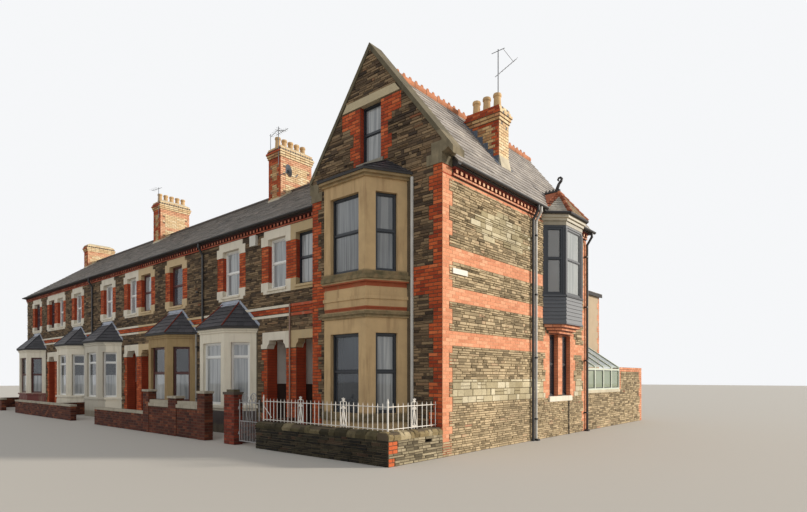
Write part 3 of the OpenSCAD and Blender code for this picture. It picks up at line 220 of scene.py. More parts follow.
# A paler copy of the garden wall's stone for its return, which faces the sun: painted sunlight.
toned("rubble_return_sunlit", (0, 88, 80, 62), (0.5, 142, 130, 104), (1, 182, 168, 138))
toned("rubble_pale", (0, 160, 146, 112), (0.5, 198, 185, 152), (1, 222, 211, 182))
toned("rubble_low", (0, 22, 19, 14), (0.4, 40, 36, 26), (0.8, 64, 58, 42), (1, 84, 52, 40), dirt=(0.5, 1.15),
      dirt_scale=1.6)
toned("cope_stone", (0, 50, 44, 28), (0.5, 88, 79, 54), (0.9, 120, 108, 80), (1, 168, 154, 124),
      dirt=(0.5, 1.2), dirt_scale=5, strength=0.6)
# A paler copy of the coping for the return in the sun: painted sunlight.
toned("cope_return_sunlit", (0, 120, 104, 72), (0.5, 156, 138, 100), (1, 184, 168, 134), dirt=(0.72, 1.12),
      dirt_scale=5, strength=0.6)

PRESSED = dict(rough=0.85, grain=70, strength=0.2)  # smooth bricks
COMMON = dict(rough=0.85, grain=70, strength=0.25)  # rougher ones
toned("brick", (0, 146, 56, 30), (0.4, 178, 76, 38), (0.8, 198, 92, 48), (1, 210, 112, 66),
      dirt=(0.86, 1.06), **COMMON)
# A paler copy of the red brick for faces in the sun: the flank, the oriel's corbels, the yard wall and the
# annexe's corner. The paleness is painted sunlight.
toned("brick_sunlit", (0, 206, 134, 98), (0.5, 224, 150, 112), (1, 234, 170, 132), dirt=(0.9, 1.05), **PRESSED)
# Paler copies of the red and the buff bricks, for the chimneys' sides that face the sun and for the flank's
# dentil faces: painted sunlight.
toned("brick_pale_sunlit", (0, 210, 146, 112), (0.5, 226, 170, 134), (1, 234, 190, 152), dirt=(0.9, 1.05), **PRESSED)
toned("brick_buff_sunlit", (0, 216, 180, 136), (0.6, 234, 208, 164), (1, 240, 220, 182), dirt=(0.88, 1.04),
      **PRESSED)
toned("brick_dark", (0, 84, 36, 28), (0.5, 122, 52, 36), (1, 146, 68, 46), **COMMON)
toned("brick_buff", (0, 168, 118, 78), (0.4, 206, 164, 112), (0.8, 226, 194, 142), (1, 196, 122, 84),
      dirt=(0.8, 1.06), **COMMON)
toned("brick_garden", (0, 62, 31, 24), (0.5, 90, 46, 32), (0.9, 112, 62, 43), (1, 138, 80, 54),
      dirt=(0.7, 1.1), **COMMON)
toned("dentil_front", (0, 170, 78, 52), (1, 206, 132, 104), **PRESSED)

SLATE = dict(grain=30, strength=0.2)
MAIN_SLATE = dict(dirt_scale=0.7, spec=0.4, **SLATE)
TILE = dict(rough=0.85, grain=60, strength=0.3)
toned("slate", (0, 98, 93, 88), (0.4, 126, 119, 112), (0.8, 144, 136, 127), (1, 164, 150, 136), rough=0.62,
      dirt=(0.85, 1.08), fine=(0.9, 1.06), **MAIN_SLATE)
toned("slate_wing", (0, 132, 125, 118), (0.4, 160, 152, 144), (0.8, 178, 170, 160), (1, 198, 188, 174),
      rough=0.65, dirt=(0.88, 1.08), fine=(0.92, 1.05), **MAIN_SLATE)
toned("slate_oriel", (0, 138, 134, 124), (0.5, 170, 163, 150), (1, 194, 186, 170), rough=0.62,
      dirt=(0.85, 1.08), **SLATE)
toned("slate_bay", (0, 40, 40, 43), (0.6, 60, 58, 62), (1, 78, 75, 78), rough=0.5, dirt=(0.85, 1.1), **SLATE)
toned("clay_tile", (0, 116, 66, 46), (0.5, 170, 98, 68), (1, 196, 124, 88), dirt=(0.7, 1.1), **TILE)
toned("tile_pale", (0, 150, 118, 88), (0.5, 186, 158, 124), (1, 214, 194, 160), dirt=(0.75, 1.08), **TILE)

FAR = 99
plain("bed_flank", (206, 154, 118), 0.95, 90, 0.3, (0.8, 1.06))
# The dentil course's body is dark as painted shade between the dentils and under the gutter, less dark on the
# flank; the dentil faces are laid over it.
plain("eaves_painted_shade", (74, 30, 24), 0.9, 60, 0.2, (0.75, 1.1), parts=[((128, 50, 38), ("x", -0.02, 0.4))])
plain("brick_mortar", (132, 104, 82), 0.95, 90, 0.3, (0.8, 1.08))
plain("garden_mortar", (92, 70, 56), 0.95, 90, 0.3, (0.8, 1.08))
plain("pale_mortar", (206, 194, 168), 0.95, 60, 0.4, (0.75, 1.06))
plain("lead", (84, 92, 104), 0.55, 40, 0.2, (0.75, 1.1), ((150, 150, 146), 0.4))
plain("lead_pale", (168, 174, 186), 0.5, 40, 0.2, (0.75, 1.06), ((112, 114, 118), 0.4))
plain("roof_under", (60, 58, 57), 0.9)
plain("coping", (104, 95, 74), 0.95, 50, 0.5, (0.6, 1.15), ((66, 62, 48), 0.8),
      parts=[((130, 118, 94), ("z", 5.8, 6.56), ("y", -0.1, 0.34))])  # kneelers
plain("ochre", (166, 140, 98), 0.9, 70, 0.25, (0.84, 1.06), ((130, 96, 62), 0.7))
RED_BAND = (158, 80, 48)
plain("bath", (196, 166, 122), 0.9, 70, 0.25, (0.86, 1.06), ((140, 108, 74), 0.6),
      parts=[(RED_BAND, ("z", 3.49, 3.61)), (RED_BAND, ("z", 3.005, 3.08))],
      stains=[((74, 70, 50), 0.95, 0.66, 0.86), ((84, 78, 56), 0.9, 2.85, 2.99),
              ((84, 78, 54), 0.95, 3.62, 3.83), ((98, 88, 62), 0.7, 5.74, 5.85),
              ((96, 84, 62), 0.6, -0.1, 0.4)])
plain("paint", (228, 218, 196), 0.6, 80, 0.12, (0.93, 1.02), ((170, 158, 134), 0.45),
      parts=[((112, 52, 44), ("x", -FAR, -24.2), ("z", 0, 0.79)),
             ((196, 188, 170), ("x", -20, -16.8), ("z", 0, 4)),
             ((78, 68, 64), ("x", -9.9, -6.5), ("z", -1, 0.63))],
      stains=[((120, 108, 86), 0.6, -0.1, 0.25)])
plain("lintel", (226, 216, 196), 0.7, 80, 0.15, (0.9, 1.03), ((172, 158, 130), 0.45),
      parts=[((190, 166, 124), ("x", -5.37, -4.0), ("z", 2, 7), ("y", 0.3, 0.6)),  # end house
             ((204, 178, 136), ("x", -14.75, -10.06), ("z", 2, 7)),  # house with the ochre bay
             ((178, 76, 38), ("x", -5.36, -4.0), ("z", 3.2, 3.65)),
             ((188, 172, 138), ("z", 7.7, 8), ("y", -0.1, 0.3)),  # gable's head and sill
             ((132, 126, 112), ("z", 6.3, 6.45), ("y", -0.2, 0.3))])
plain("garden_cope", (176, 166, 146), 0.85, 70, 0.2, (0.8, 1.06), ((110, 100, 82), 0.7),
      parts=[((84, 72, 62), ("x", -5.45, -4.9), ("z", 1.1, 1.4))])  # gate pier
plain("render", (186, 166, 138), 0.9, 120, 0.25, (0.92, 1.04), ((168, 142, 110), 0.4))
plain("porch", (236, 230, 220), 0.85, 80, 0.1, (0.93, 1.03), parts=[((74, 52, 44), ("z", -0.1, 1.42))])
plain("dark_frame", (36, 40, 46), 0.38, 200, 0.03, (0.95, 1.04))
plain("white_frame", (232, 230, 224), 0.35, 200, 0.03, (0.96, 1.02))
plain("red_frame", (82, 38, 34), 0.5, 100, 0.08, (0.85, 1.08))
plain("oriel", (74, 77, 82), 0.5, 100, 0.08, (0.9, 1.06), stains=[((96, 88, 70), 0.6, 5.6, 5.72)],
      parts=[((182, 172, 150), ("z", 5.595, 6.0)), ((120, 56, 40), ("z", 2.5, 3.0)),
             ((46, 49, 55), ("z", 3.7, 5.595))])
plain("boards", (74, 77, 82), 0.5, 100, 0.08, (0.9, 1.06))
plain("gutter", (44, 41, 40), 0.55, 60, 0.1)
PALE_PIPE = (190, 186, 178)
plain("pipe", (50, 49, 50), 0.5, 60, 0.1, (0.85, 1.08),
      parts=[(PALE_PIPE, ("x", -1.0, -0.5), ("y", -0.2, 0.0)), (PALE_PIPE, ("y", 3.82, 4.0), ("x", 0.0, 0.4)),
             ((150, 120, 104), ("x", -5.6, -5.1), ("z", 0, 3.6)),
             ((150, 144, 134), ("x", -13.6, -9.95), ("z", 0, 3.2)), ((30, 30, 32), ("y", 7.0, 7.4))])
plain("iron_white", (232, 226, 216), 0.5, 90, 0.15, (0.9, 1.03), ((176, 154, 130), 0.4))
plain("iron_dark", (156, 154, 152), 0.55, 90, 0.15, (0.8, 1.1), ((92, 86, 80), 0.6))
plain("iron_black", (38, 34, 34), 0.6, 60, 0.3, (0.8, 1.2))
plain("pot", (208, 172, 124), 0.85, 60, 0.2, (0.72, 1.08), ((112, 88, 62), 0.5))
plain("door", (58, 40, 34), 0.45, 60, 0.08)
plain("wood", (130, 98, 66), 0.8, 60, 0.1)
plain("cream", (196, 202, 184), 0.5, 60, 0.08)
plain("metal", (120, 122, 126), 0.45, 60, 0.05, metal=0.4)
plain("plate", (204, 200, 188), 0.5, 60, 0.05)

def ridge():
    """Clay ridge tiles on the wing, dark ones on the terrace, with a joint at every tile."""
    s = Shade("ridge", 0.85, spec=0.3)
    c = s.mix(s.inside(("x", -FAR, -4.7), soft=1.0), lin(196, 130, 94), lin(86, 78, 72))
    along = s.math("ADD", s.axis("x"), s.axis("y"))
    joint = s.math("LESS_THAN", s.math("PINGPONG", along, 0.225), 0.008)
    c = s.speckle(s.mix(joint, c, lin(70, 58, 48)), 3, 5, (0.7, 1.1))
    s.finish(c, s.noise(60, 5), 0.3, 0.006)
ridge()

def glass():
    """Panes painted dark as painted shade of the dim rooms behind, with the pale nets and curtains that hang
    close behind them and painted light and shade on their folds.
    """
    s = Shade("glass", 0.04)
    nets = s.math("MULTIPLY", s.within(-3.2, -0.8, -1, 0.05, 3.8, 5.5), 0.62)  # end bay, upstairs
    for zone in ((-1.4, -0.8, -1, 0.05, 0.8, 2.6), (-2.4, -1.6, 0, 0.3, 6.4, 7.8),  # downstairs, and the gable
                (-11.4, -4.2, 0.3, 0.7, 4.0, 5.5), (-9.5, -5.5, -0.3, 0.4, 0.8, 2.7),  # terrace
                (-30, -10.5, -0.3, 0.4, 0.8, 1.7), (-24, -14, 0.3, 0.7, 4.0, 5.5)):
        nets = s.math("MAXIMUM", nets, s.within(*zone))
    # Lighter and darker vertical stripes on the nets and blinds: painted light and shade of their folds.
    folds = s.ramp(s.noise(1.0, 3, 0.55, s.stretch(16, 16, 0.5)), (0.4, grey(0)), (0.62, grey(1)))
    # The dim rooms seen through the panes, drawn as a dark colour on the nearly opaque glass: painted shade.
    dim_room_shade = s.ramp(s.noise(0.55, 2), (0.35, lin(50, 55, 61)), (0.65, lin(88, 95, 103)))
    c = s.mix(s.math("MULTIPLY", nets, s.math("MULTIPLY_ADD", folds, 0.5, 0.38)), dim_room_shade, lin(176, 178, 176))
    blinds = s.mix(folds, lin(166, 170, 168), lin(190, 193, 190))
    for zone, colour in (((0.36, 0.6, 4.8, 5.9, 3.7, 5.6), blinds),  # oriel, main face
                        ((-0.2, 0.3, 4.3, 6.3, 3.7, 5.6), lin(150, 151, 150)),  # oriel, canted faces
                        ((-1.7, 0.1, 7.2, 10.2, 1.1, 3.3), lin(84, 100, 78)),  # conservatory
                        ((-0.1, 0.1, 7.2, 10.2, 1.1, 2.6), lin(158, 170, 142))):
        c = s.mix(s.within(*zone), c, colour)
    s.set(s.b.inputs["Alpha"], s.math("MULTIPLY_ADD", nets, 0.33, 0.66))
    s.b.inputs["Coat Weight"].default_value = 0.5
    s.b.inputs["Coat Roughness"].default_value = 0.02
    s.finish(c, s.noise(1.3, 2), 0.06, 0.02)
glass()

for mat, nodes in {
        "mortar_front": "terrace_ground_wall terrace_upper_wall wing_gable_wall rear_wall stone_garden_wall",
        "mortar_sunlit": "flank_wall yard_wall",
        "porch": "party_walls porch_linings",
        "render": "end_party_wall annexe_walls",
        "roof_under": "terrace_roof_front terrace_roof_rear wing_roof_street wing_roof_inner end_bay_roof "
                      "row_bay_roofs oriel_roof annexe_roofs",
        "bath": "end_bay_lower end_bay_upper",
        "lintel": "upper_dressings string_course porch_lintels",
        "brick_mortar": "wing_chimney party_chimneys",
        "iron_dark": "gate_hooks gate",
        "wood": "floors", "ridge": "ridge_tiles", "coping": "gable_coping", "paint": "painted_bays",
        "ochre": "sandstone_bay", "oriel": "oriel_body", "door": "front_doors", "eaves_painted_shade": "eaves_dentils",
        "gutter": "gutters", "pipe": "downpipes", "pot": "chimney_pots", "glass": "window_glass",
        "dark_frame": "dark_window_frames", "white_frame": "white_window_frames",
        "red_frame": "red_window_frames", "iron_white": "garden_railing",
        "garden_mortar": "brick_garden_walls", "garden_cope": "garden_copings",
        "cream": "conservatory_frame", "metal": "roof_aerials"}.items():
    for node in nodes.split():
        o = NODES[node]
        if not o.material_slots:
            o.data.materials.append(M[mat])
        for slot in o.material_slots:
            slot.material = M[mat]

# Blocks laid on planes
class Sheet:
    """A plane: u to the right and v up, as seen from outside."""
    def __init__(self, origin, u, v=UP):
        self.o, self.u, self.v = Vector(origin), Vector(u).normalized(), Vector(v).normalized()
        self.n = self.u.cross(self.v)
    def p(self, u, v, n):
        return self.o + self.u * u + self.v * v + self.n * n

class Blocks:
    """One piece of the scene: many small solids in one mesh, each with a tone for its material."""
    def __init__(self, name, mat, slot, body="building"):
        self.name, self.mat, self.slot, self.body = name, mat, slot, body
        self.v, self.f, self.t = [], [], []
    def quad(self, s, q, d, inset, tone, back=-0.004):
        """A block on the sheet s: four corners q, depth d (or one for each corner) and a bevelled edge."""
        cu = sum(p[0] for p in q) / 4
        cv = sum(p[1] for p in q) / 4
        i = len(self.v)
        depths = d if isinstance(d, (list, tuple)) else (d,) * 4
        for u, v in q:
            self.v.append(s.p(u, v, back))
        for (u, v), depth in zip(q, depths):
            self.v.append(s.p(u + math.copysign(inset, cu - u), v + math.copysign(inset, cv - v), depth))
        for a, b, c, e in ((4, 5, 6, 7), (0, 1, 5, 4), (1, 2, 6, 5), (2, 3, 7, 6), (3, 0, 4, 7)):
            self.f.append((i + a, i + b, i + c, i + e))
        self.t.extend([tone] * 8)
    def rect(self, s, a, b, v0, v1, d, inset, tone, **k):
        self.quad(s, [(a, v0), (b, v0), (b, v1), (a, v1)], d, inset, tone, **k)
    def done(self):
        me = bpy.data.meshes.new(self.name)
        me.from_pydata([tuple(p) for p in self.v], [], self.f)
        a = me.attributes.new("tone", "FLOAT", "POINT")
        a.data.foreach_set("value", np.array(self.t, np.float32))
        me.materials.append(M[self.mat])
        o = bpy.data.objects.new(self.name, me)
        bpy.context.scene.collection.objects.link(o)
        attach(o, self.body)
        return o

def done(*pieces):
    for piece in pieces:
        piece.done()

def free(a, b, holes, v0, v1, share=0.3):
    """What is left of a to b between two heights, outside the holes (low, high, bottom, top)."""
    out = [(a, b)]
    for lo, hi, bottom, top in holes:
        if min(v1, top) - max(v0, bottom) <= share * (v1 - v0):
            continue
        new = []
        for x, y in out:
            if lo >= y or hi <= x:
                new.append((x, y))
                continue
            if lo > x:
                new.append((x, lo))
            if hi < y:
                new.append((hi, y))
        out = new
    return [(x, y) for x, y in out if y - x > 0.012]

LIFT = 0.3  # masonry is levelled up this often
def lifts(v0, v1, holes):
    """Heights that the courses keep to: the edges of the holes, and every lift between them."""
    marks = sorted({v0, v1, *(v for h in holes for v in h[2:4] if v0 < v < v1)})
    out = [marks[0]]
    for m in marks[1:]:
        if m - out[-1] > 0.035:
            out.append(m)
    out[-1] = v1
    res = [out[0]]
    for m in out[1:]:
        g = math.floor(res[-1] / LIFT + 1 + 1e-6) * LIFT
        while g < m - 0.04:
            if g - res[-1] > 0.04:
                res.append(g)
            g += LIFT
        res.append(m)
    return res

def rubble(out, s, a, b, v0, v1, holes, course=0.062, length=(0.08, 0.34), outline=None, split=0.2,
           shade=(0.0, 1.0), red=0.03):
    """Coursed rubble between two heights, cut round the holes and the brickwork."""
    j = 0.0035  # half a joint
    levels = lifts(v0, v1, holes)
    for z, top in zip(levels, levels[1:]):
        rise = top - z
        w = [R.uniform(0.75, 1.3) for _ in range(max(1, round(rise / course)))]
        for k in w:
            h = rise * k / sum(w)
            lo, hi = outline(z + h / 2) if outline else (a, b)
            for u, y in free(lo, hi, holes, z, z + h):
                while u < y - 1e-4:
                    l = R.uniform(*length)
                    if R.random() < 0.12:
                        l *= 1.5
                    if y - u - l < 0.07:
                        l = y - u
                    tone = R.uniform(*shade)
                    if R.random() > red and tone > 0.9:
                        tone *= 0.85
                    parts = [(z, z + h)]
                    if h > 0.055 and l > 0.1 and R.random() < split:
                        c = z + h * R.uniform(0.4, 0.6)
                        parts = [(z, c), (c, z + h)]
                    for p, q in parts:
                        jj = min(j, (q - p) * 0.2)
                        k1, k2, k3, k4 = (R.uniform(-0.003, 0.003) for _ in range(4))
                        depth = R.uniform(0.004, 0.024)
                        depths = [depth + R.uniform(-0.004, 0.004) for _ in range(4)]
                        corners = [(u + j + k1, p + jj), (u + l - j + k2, p + jj), (u + l - j + k3, q - jj),
                                   (u + j + k4, q - jj)]
                        out.quad(s, corners, depths, min(0.006, (q - p) * 0.2),
                                 tone + R.uniform(-0.08, 0.08) if len(parts) > 1 else tone)
                    u += l
            z += h

def merge(spans):
    out = []
    for a, b in sorted(spans):
        if out and a <= out[-1][1] + 1e-6:
            out[-1][1] = max(out[-1][1], b)
        else:
            out.append([a, b])
    return out

def bricks(out, s, zones, holes, v0, v1, course=COURSE, off=0.0, d=0.007, joint=0.010, length=BRICK,
           shade=(0, 1), bed=None):
    """Brickwork in the zones (low, high, bottom, top), on a bed of mortar if one is given."""
    least = 0.03  # shortest cut brick
    for n in range(math.floor((v0 - off) / course + 1e-6), math.ceil((v1 - off) / course - 1e-6)):
        z = off + n * course
        m = z + course / 2
        if m < v0 or m > v1:
            continue
        for a, b in merge([(q[0], q[1]) for q in zones if q[2] < m < q[3]]):
            for x, y in free(a, b, holes, z, z + course, 0.4):
                if bed:
                    bed.rect(s, x, y, z, z + course, 0.0035, 0.0, 0.5)
                half = (n % 2) * length / 2
                g = math.floor((x - half) / length) * length + half
                u = x
                while u < y - 1e-4:
                    e = g + length
                    while e - u < least:
                        e += length
                    g = e
                    if y - e < least:
                        e = y
                    e = min(e, y)
                    j = joint / 2
                    out.rect(s, u + j, e - j, z + j, z + course - j, d + R.uniform(-0.0015, 0.0015), 0.003,
                             R.uniform(*shade))
                    u = e

def whole(w, z0, z1):
    """A zone that covers a face of width w and laps its corners."""
    return [(-E, w + E, z0 - 1, z1 + 1)]

def teeth(x, outward, narrow, wide, v0, v1, phase=0, step=0.3):
    """Toothed quoin rectangles from the line x towards +u (outward=1) or -u."""
    z = math.floor(v0 / step) * step
    out = []
    while z < v1:
        w = wide if phase % 2 else narrow
        a, b = (x, x + w) if outward > 0 else (x - w, x)
        out.append((a, b, max(z, v0), min(z + step, v1)))
        z += step
        phase += 1
    return out

def slates(out, s, v1, span, holes=(), gauge=0.19, w=0.255, d=0.02):
    """Rows of slates up a slope. span(v) gives the ends at that height, or several of them."""
    n = max(1, round(v1 / gauge))
    g = v1 / n
    gap, tail = 0.002, 0.004  # half a gap between slates, depth of the covered end
    for i in range(n):
        a, b = i * g, (i + 1) * g
        lo, hi = span(a + 1e-4), span(b - 1e-4)
        if not isinstance(lo, list):
            lo, hi = [lo], [hi]
        for (l0, l1), (h0, h1) in zip(lo, hi):
            for x, y in free(min(l0, h0), max(l1, h1), holes, a, b, 0.5):
                u = x - (R.uniform(0, w) if i % 2 else R.uniform(0, 0.02))
                while u < y:
                    e = u + w + R.uniform(-0.004, 0.004)
                    p0, p1 = max(u, x, l0), min(e, y, l1)
                    q0, q1 = max(u, x, h0), min(e, y, h1)
                    p1, q1 = max(p1, min(p0, y)), max(q1, min(q0, y))
                    if p1 - p0 > 0.01 or q1 - q0 > 0.01:
                        tone = min(1, max(0, R.gauss(0.42, 0.2)))
                        lift = R.uniform(-0.003, 0.004)
                        corners = [(p0 + gap, a), (max(p1 - gap, p0 + gap), a),
                                   (max(q1 - gap, q0 + gap), b), (q0 + gap, b)]
                        out.quad(s, corners, (d + lift, d + lift, tail, tail), 0.0, tone, back=-0.002)
                    u = e

def narrowing(c, z, step, wide, narrow, n):
    """Holes for a bay's roof, which narrows up the wall."""
    out = []
    for i in range(n):
        lo = z + i * step
        w = wide - (wide - narrow) * (i + 0.5) / n
        out.append((c - w, c + w, lo, lo + step))
    return out

front = Sheet((0, FY, 0), (1, 0, 0))
gable = Sheet((0, 0, 0), (1, 0, 0))
flank = Sheet((0, 0, 0), (0, 1, 0))
rear = Sheet((0, DEPTH, 0), (-1, 0, 0))

# Terrace front
fr = Blocks("front_rubble", "rubble_shaded", "rubble")
fb = Blocks("front_brickwork", "brick", "brick")
BAY_TOP, PORCH_TOP, LINTEL_FOOT = 3.09, 2.87, 2.41
BAND = (3.34, 3.52)
SILL, HEAD = 4.08, 5.48  # of the upper windows
HEAD_BLOCK, SILL_BLOCK, LEDGE = (5.31, 5.58), (4.03, 4.28), (3.95, 4.03)
JAMB, SHARED = (0.33, 0.14), (0.225, 0.0)  # brick jamb and cut of the label: free side, paired side
holes, zones = [], []
for k in range(2, HOUSES + 1):
    c = inward(k, BAY)
    holes.append((c - 1.41, c + 1.41, 0, BAY_TOP))
    holes += narrowing(c, BAY_TOP, 0.095, 1.46, 0.47, 8)
for k in range(1, HOUSES + 1):
    s = side(k)
    for x, w, twin in ((inward(k, WINDOW), 0.40, True), (inward(k, BAY), 0.45, False))[:1 if k == 1 else 2]:
        l, cut_l = SHARED if twin and s > 0 else JAMB
        r, cut_r = SHARED if twin and s < 0 else JAMB
        a, b = x - w - l, x + w + r
        holes += [(x - w, x + w, SILL, HEAD), (a + cut_l, b - cut_r, HEAD, BRICK_TOP),
                  (a, b, *HEAD_BLOCK), (a, b, *SILL_BLOCK),
                  (a + (0.1 if cut_l else 0), b - (0.1 if cut_r else 0), *LEDGE)]
        zones.append((a, b, SILL_BLOCK[1], HEAD_BLOCK[0]))
    pl, pc = pair_line(k), inward(k, PORCH)
    holes.append((pc - 0.43, pc + 0.43, 0, PORCH_TOP))
    holes.append((*sorted((pl, inward(k, 1.29))), 2.54, PORCH_TOP))
    holes.append((*sorted((pl, inward(k, 1.36))), LINTEL_FOOT, 2.54))
    zones.append((pl - 0.22, pl + 0.22, 0.0, LINTEL_FOOT))
    zones += teeth(inward(k, 1.08), s, 0.17, 0.28, 0.0, LINTEL_FOOT, k)
zones.append((ROW_END, -WING, *BAND))
holes += [(ROW_END, -WING, 3.27, BAND[0]), (ROW_END, -WING, BAND[1], 3.59)]
bricks(fb, front, zones, holes, 0.0, 5.6, off=-0.01)
rubble(fr, front, ROW_END, -WING, 0.0, BRICK_TOP, holes + zones)
fr.done()

# Gable front
gr = Blocks("gable_rubble", "rubble_shaded", "rubble")
PLINTH, KNEELER, CORBEL, ATTIC_HEAD = 0.45, 5.9, 6.11, 7.75
holes = [(MID - 1.2, MID + 1.2, 0, 5.85), (MID - 0.32, MID + 0.32, 6.43, ATTIC_HEAD),
         (MID - 0.41, MID + 0.41, 6.34, 6.43), (-WING, 0.0, ATTIC_HEAD, 7.93),
         (-0.38, 0.0, KNEELER, CORBEL), (-WING, -3.62, KNEELER, CORBEL), (-0.26, 0.0, CORBEL, 6.34),
         (-WING, -3.74, CORBEL, 6.34)]
holes += narrowing(MID, 5.85, 0.085, 1.25, 0.52, 6)
zones = teeth(0.0, -1, *QUOIN, PLINTH, KNEELER, 0) + teeth(-WING, 1, *QUOIN, PLINTH, KNEELER, 1)
zones.append((-WING, 0.0, 3.3, 3.9))
for sgn in (-1, 1):
    x = MID + sgn * 0.32
    zones += teeth(x, sgn, 0.22, 0.33, 6.3, 7.35, 0)
    zones.append((*sorted((x, x + sgn * 0.6)), 7.35, ATTIC_HEAD))
def gable_span(z):
    """Ends of the gable wall under its coping."""
    h = min(HALF, (HALF + OVER) - (z - EAVES - 0.35 + 0.11) / math.tan(PW))
    return MID - h, MID + h
def stone_span(z):
    a, b = gable_span(z)
    return a + 0.01, b - 0.01
cut = []
for a, b, c, d in zones:
    lo, hi = gable_span(d)
    if min(b, hi) > max(a, lo):
        cut.append((max(a, lo), min(b, hi), c, d))
bricks(fb, gable, cut, holes, PLINTH, 7.8)
rubble(gr, gable, -WING, 0.0, 0.0, 9.0, holes + cut, outline=stone_span)
done(gr, fb)

# Flank
kr = Blocks("flank_rubble", "rubble_sunlit", "rubble")
kp = Blocks("flank_pale_stones", "rubble_pale", "rubble")
kb = Blocks("flank_brickwork", "brick_sunlit", "brick")
kd = Blocks("flank_brick_mortar", "bed_flank", "brick")
PAIR_Y, PAIR_HEAD = 5.44, 2.85  # the pair of narrow windows
ORIEL, ORIEL_FOOT = (4.40, 6.28), 3.0
PALE = (1.06, 1.56)  # pale band of larger stones
# Ends of the pale rows high up, lowest first
PATCH = ((2.3, 3.0), (1.5, 3.3), (1.2, 3.7), (1.0, 3.6), (1.15, 3.74), (1.4, 3.2), (1.7, 2.6))
holes = [(PAIR_Y + d - 0.26, PAIR_Y + d + 0.26, 1.09, 2.77) for d in (-0.395, 0.395)]
holes += [(PAIR_Y - 0.715, PAIR_Y + 0.715, 0.95, 1.09), (*ORIEL, ORIEL_FOOT, 5.9)]
for i in range(3):  # corbels under the oriel
    holes.append((ORIEL[0] + 0.09 * i, ORIEL[1] - 0.09 * i, 2.925 - COURSE * i, ORIEL_FOOT - COURSE * i))
zones = teeth(0.0, 1, *QUOIN, PLINTH, BRICK_TOP, 1) + teeth(DEPTH, -1, *QUOIN, 0.0, BRICK_TOP, 0)
zones += [(0.0, QUOIN[0], 0.30, PLINTH)]
zones += [(0, DEPTH, a, b) for a, b in ((3.975, 4.275), (3.15, 3.45), (2.25, 2.55), (5.655, BRICK_TOP))]
for sgn in (-1, 1):
    zones += teeth(PAIR_Y + sgn * 0.655, sgn, 0.25, 0.36, 1.05, PAIR_HEAD)
zones += [(PAIR_Y - 0.14, PAIR_Y + 0.14, 1.05, PAIR_HEAD)]
pale = []
for i, (a, b) in enumerate(PATCH):
    z = 4.50 + 0.13 * i
    while a < b:
        w = R.uniform(0.25, 0.8)
        if R.random() < 0.85:
            pale.append((a, min(b, a + w), z, z + 0.13))
        a += w
bricks(kb, flank, zones, holes, 0.0, BRICK_TOP, bed=kd, joint=0.008)
bricks(kb, flank, [(0, WALL, 5.7, 6.0)], [], BRICK_TOP, 5.90, bed=kd, joint=0.008, off=0.03)
kd.done()
shut = holes + zones
rubble(kr, flank, 0.0, DEPTH, PALE[0], BRICK_TOP, shut + [(0.34, DEPTH - 0.34, *PALE)] + pale, red=0.08,
       course=0.056, length=(0.08, 0.30))
rubble(kr, flank, 0.0, DEPTH, 0.0, PALE[0], shut, course=0.052, length=(0.08, 0.26), red=0.12,
       shade=(0.1, 1.0))
rubble(kp, flank, 0.34, DEPTH - 0.34, *PALE, shut, course=0.15, length=(0.14, 0.4), split=0.15)
for patch in pale:
    rubble(kp, flank, *patch, shut, course=0.13, length=(0.16, 0.5), split=0.3)
done(kr, kp, kb)

# Rear
rr = Blocks("rear_rubble", "rubble_sunlit", "rubble")
rb = Blocks("rear_brickwork", "brick", "brick")
ANNEXES, ANNEXE_TOP = (1, 3, 5), 4.75  # party lines that an annexe straddles
holes = [(1.6 if p == 1 else -(line(p) + 3.1), -(line(p) - 3.1), 0, ANNEXE_TOP) for p in ANNEXES]
zones = []
for k in range(1, HOUSES + 1):
    x = 0.8 if k == 1 else -inward(k, 3.88)
    for z0, z1 in ((1.1, 2.5), (SILL, 5.3))[1 if k == 1 else 0:]:
        holes.append((x - 0.31, x + 0.31, z0, z1))
        zones.append((x - 0.53, x + 0.53, z0 - 0.15, z1 + 0.225))
holes.append((0, 1.6, 0, 3.05))  # behind the conservatory
zones += teeth(0.0, 1, *QUOIN, 0, 5.9, 1)
bricks(rb, rear, zones, holes, 0, 5.9)
rubble(rr, rear, 0.0, -ROW_END, 0.0, 5.85, holes + zones)
def rear_gable(z):
    h = min(HALF, (HALF + OVER) - (z - EAVES + 0.2) / math.tan(PW))
    return HALF - h, HALF + h
rubble(rr, rear, 0.0, WING, 5.85, 8.4, zones, outline=rear_gable)
done(rr, rb)

# Roofs
def slope(x, y, z, u, pitch):
    """A roof slope from the eaves corner x, y, z, with its eaves along u."""
    u = Vector(u)
    return Sheet((x, y, z), u, UP.cross(u) * math.cos(pitch) + UP * math.sin(pitch))

sl = Blocks("terrace_slates", "slate", "slate")
STACK_Y = (3.25, 4.68)  # front and back of the party stacks
VT = (RIDGE_Y - FY + OVER) / math.cos(PT)
REACH = VALLEY_X + WING + OVER  # how far the valley runs in from the wing's eaves
x0 = ROW_END - 0.04
stacks = [(line(k) - 0.37, line(k) + 0.37) for k in (2, 4)] + [(ROW_END - 0.1, ROW_END + 0.57)]
foot = (STACK_Y[0] - FY + OVER) / math.cos(PT) - 0.01
slates(sl, slope(x0, FY - OVER, EAVES, (1, 0, 0), PT), VT,
       lambda v: (0.0, -WING - OVER + REACH * v / VT - x0), [(a - x0, b - x0, foot, 9) for a, b in stacks])
foot = (2 * RIDGE_Y - FY + OVER - STACK_Y[1]) / math.cos(PT) - 0.01
slates(sl, slope(0, 2 * RIDGE_Y - FY + OVER, EAVES, (-1, 0, 0), PT), VT,
       lambda v: (WING + OVER - REACH * v / VT, -x0), [(-b, -a, foot, 9) for a, b in stacks])
sl.done()
sw = Blocks("wing_slates", "slate_wing", "slate")
VW = (HALF + OVER) / math.cos(PW)
stack = (3.27, 3.77, (0.65 + OVER) / math.cos(PW), (1.60 + OVER) / math.cos(PW))
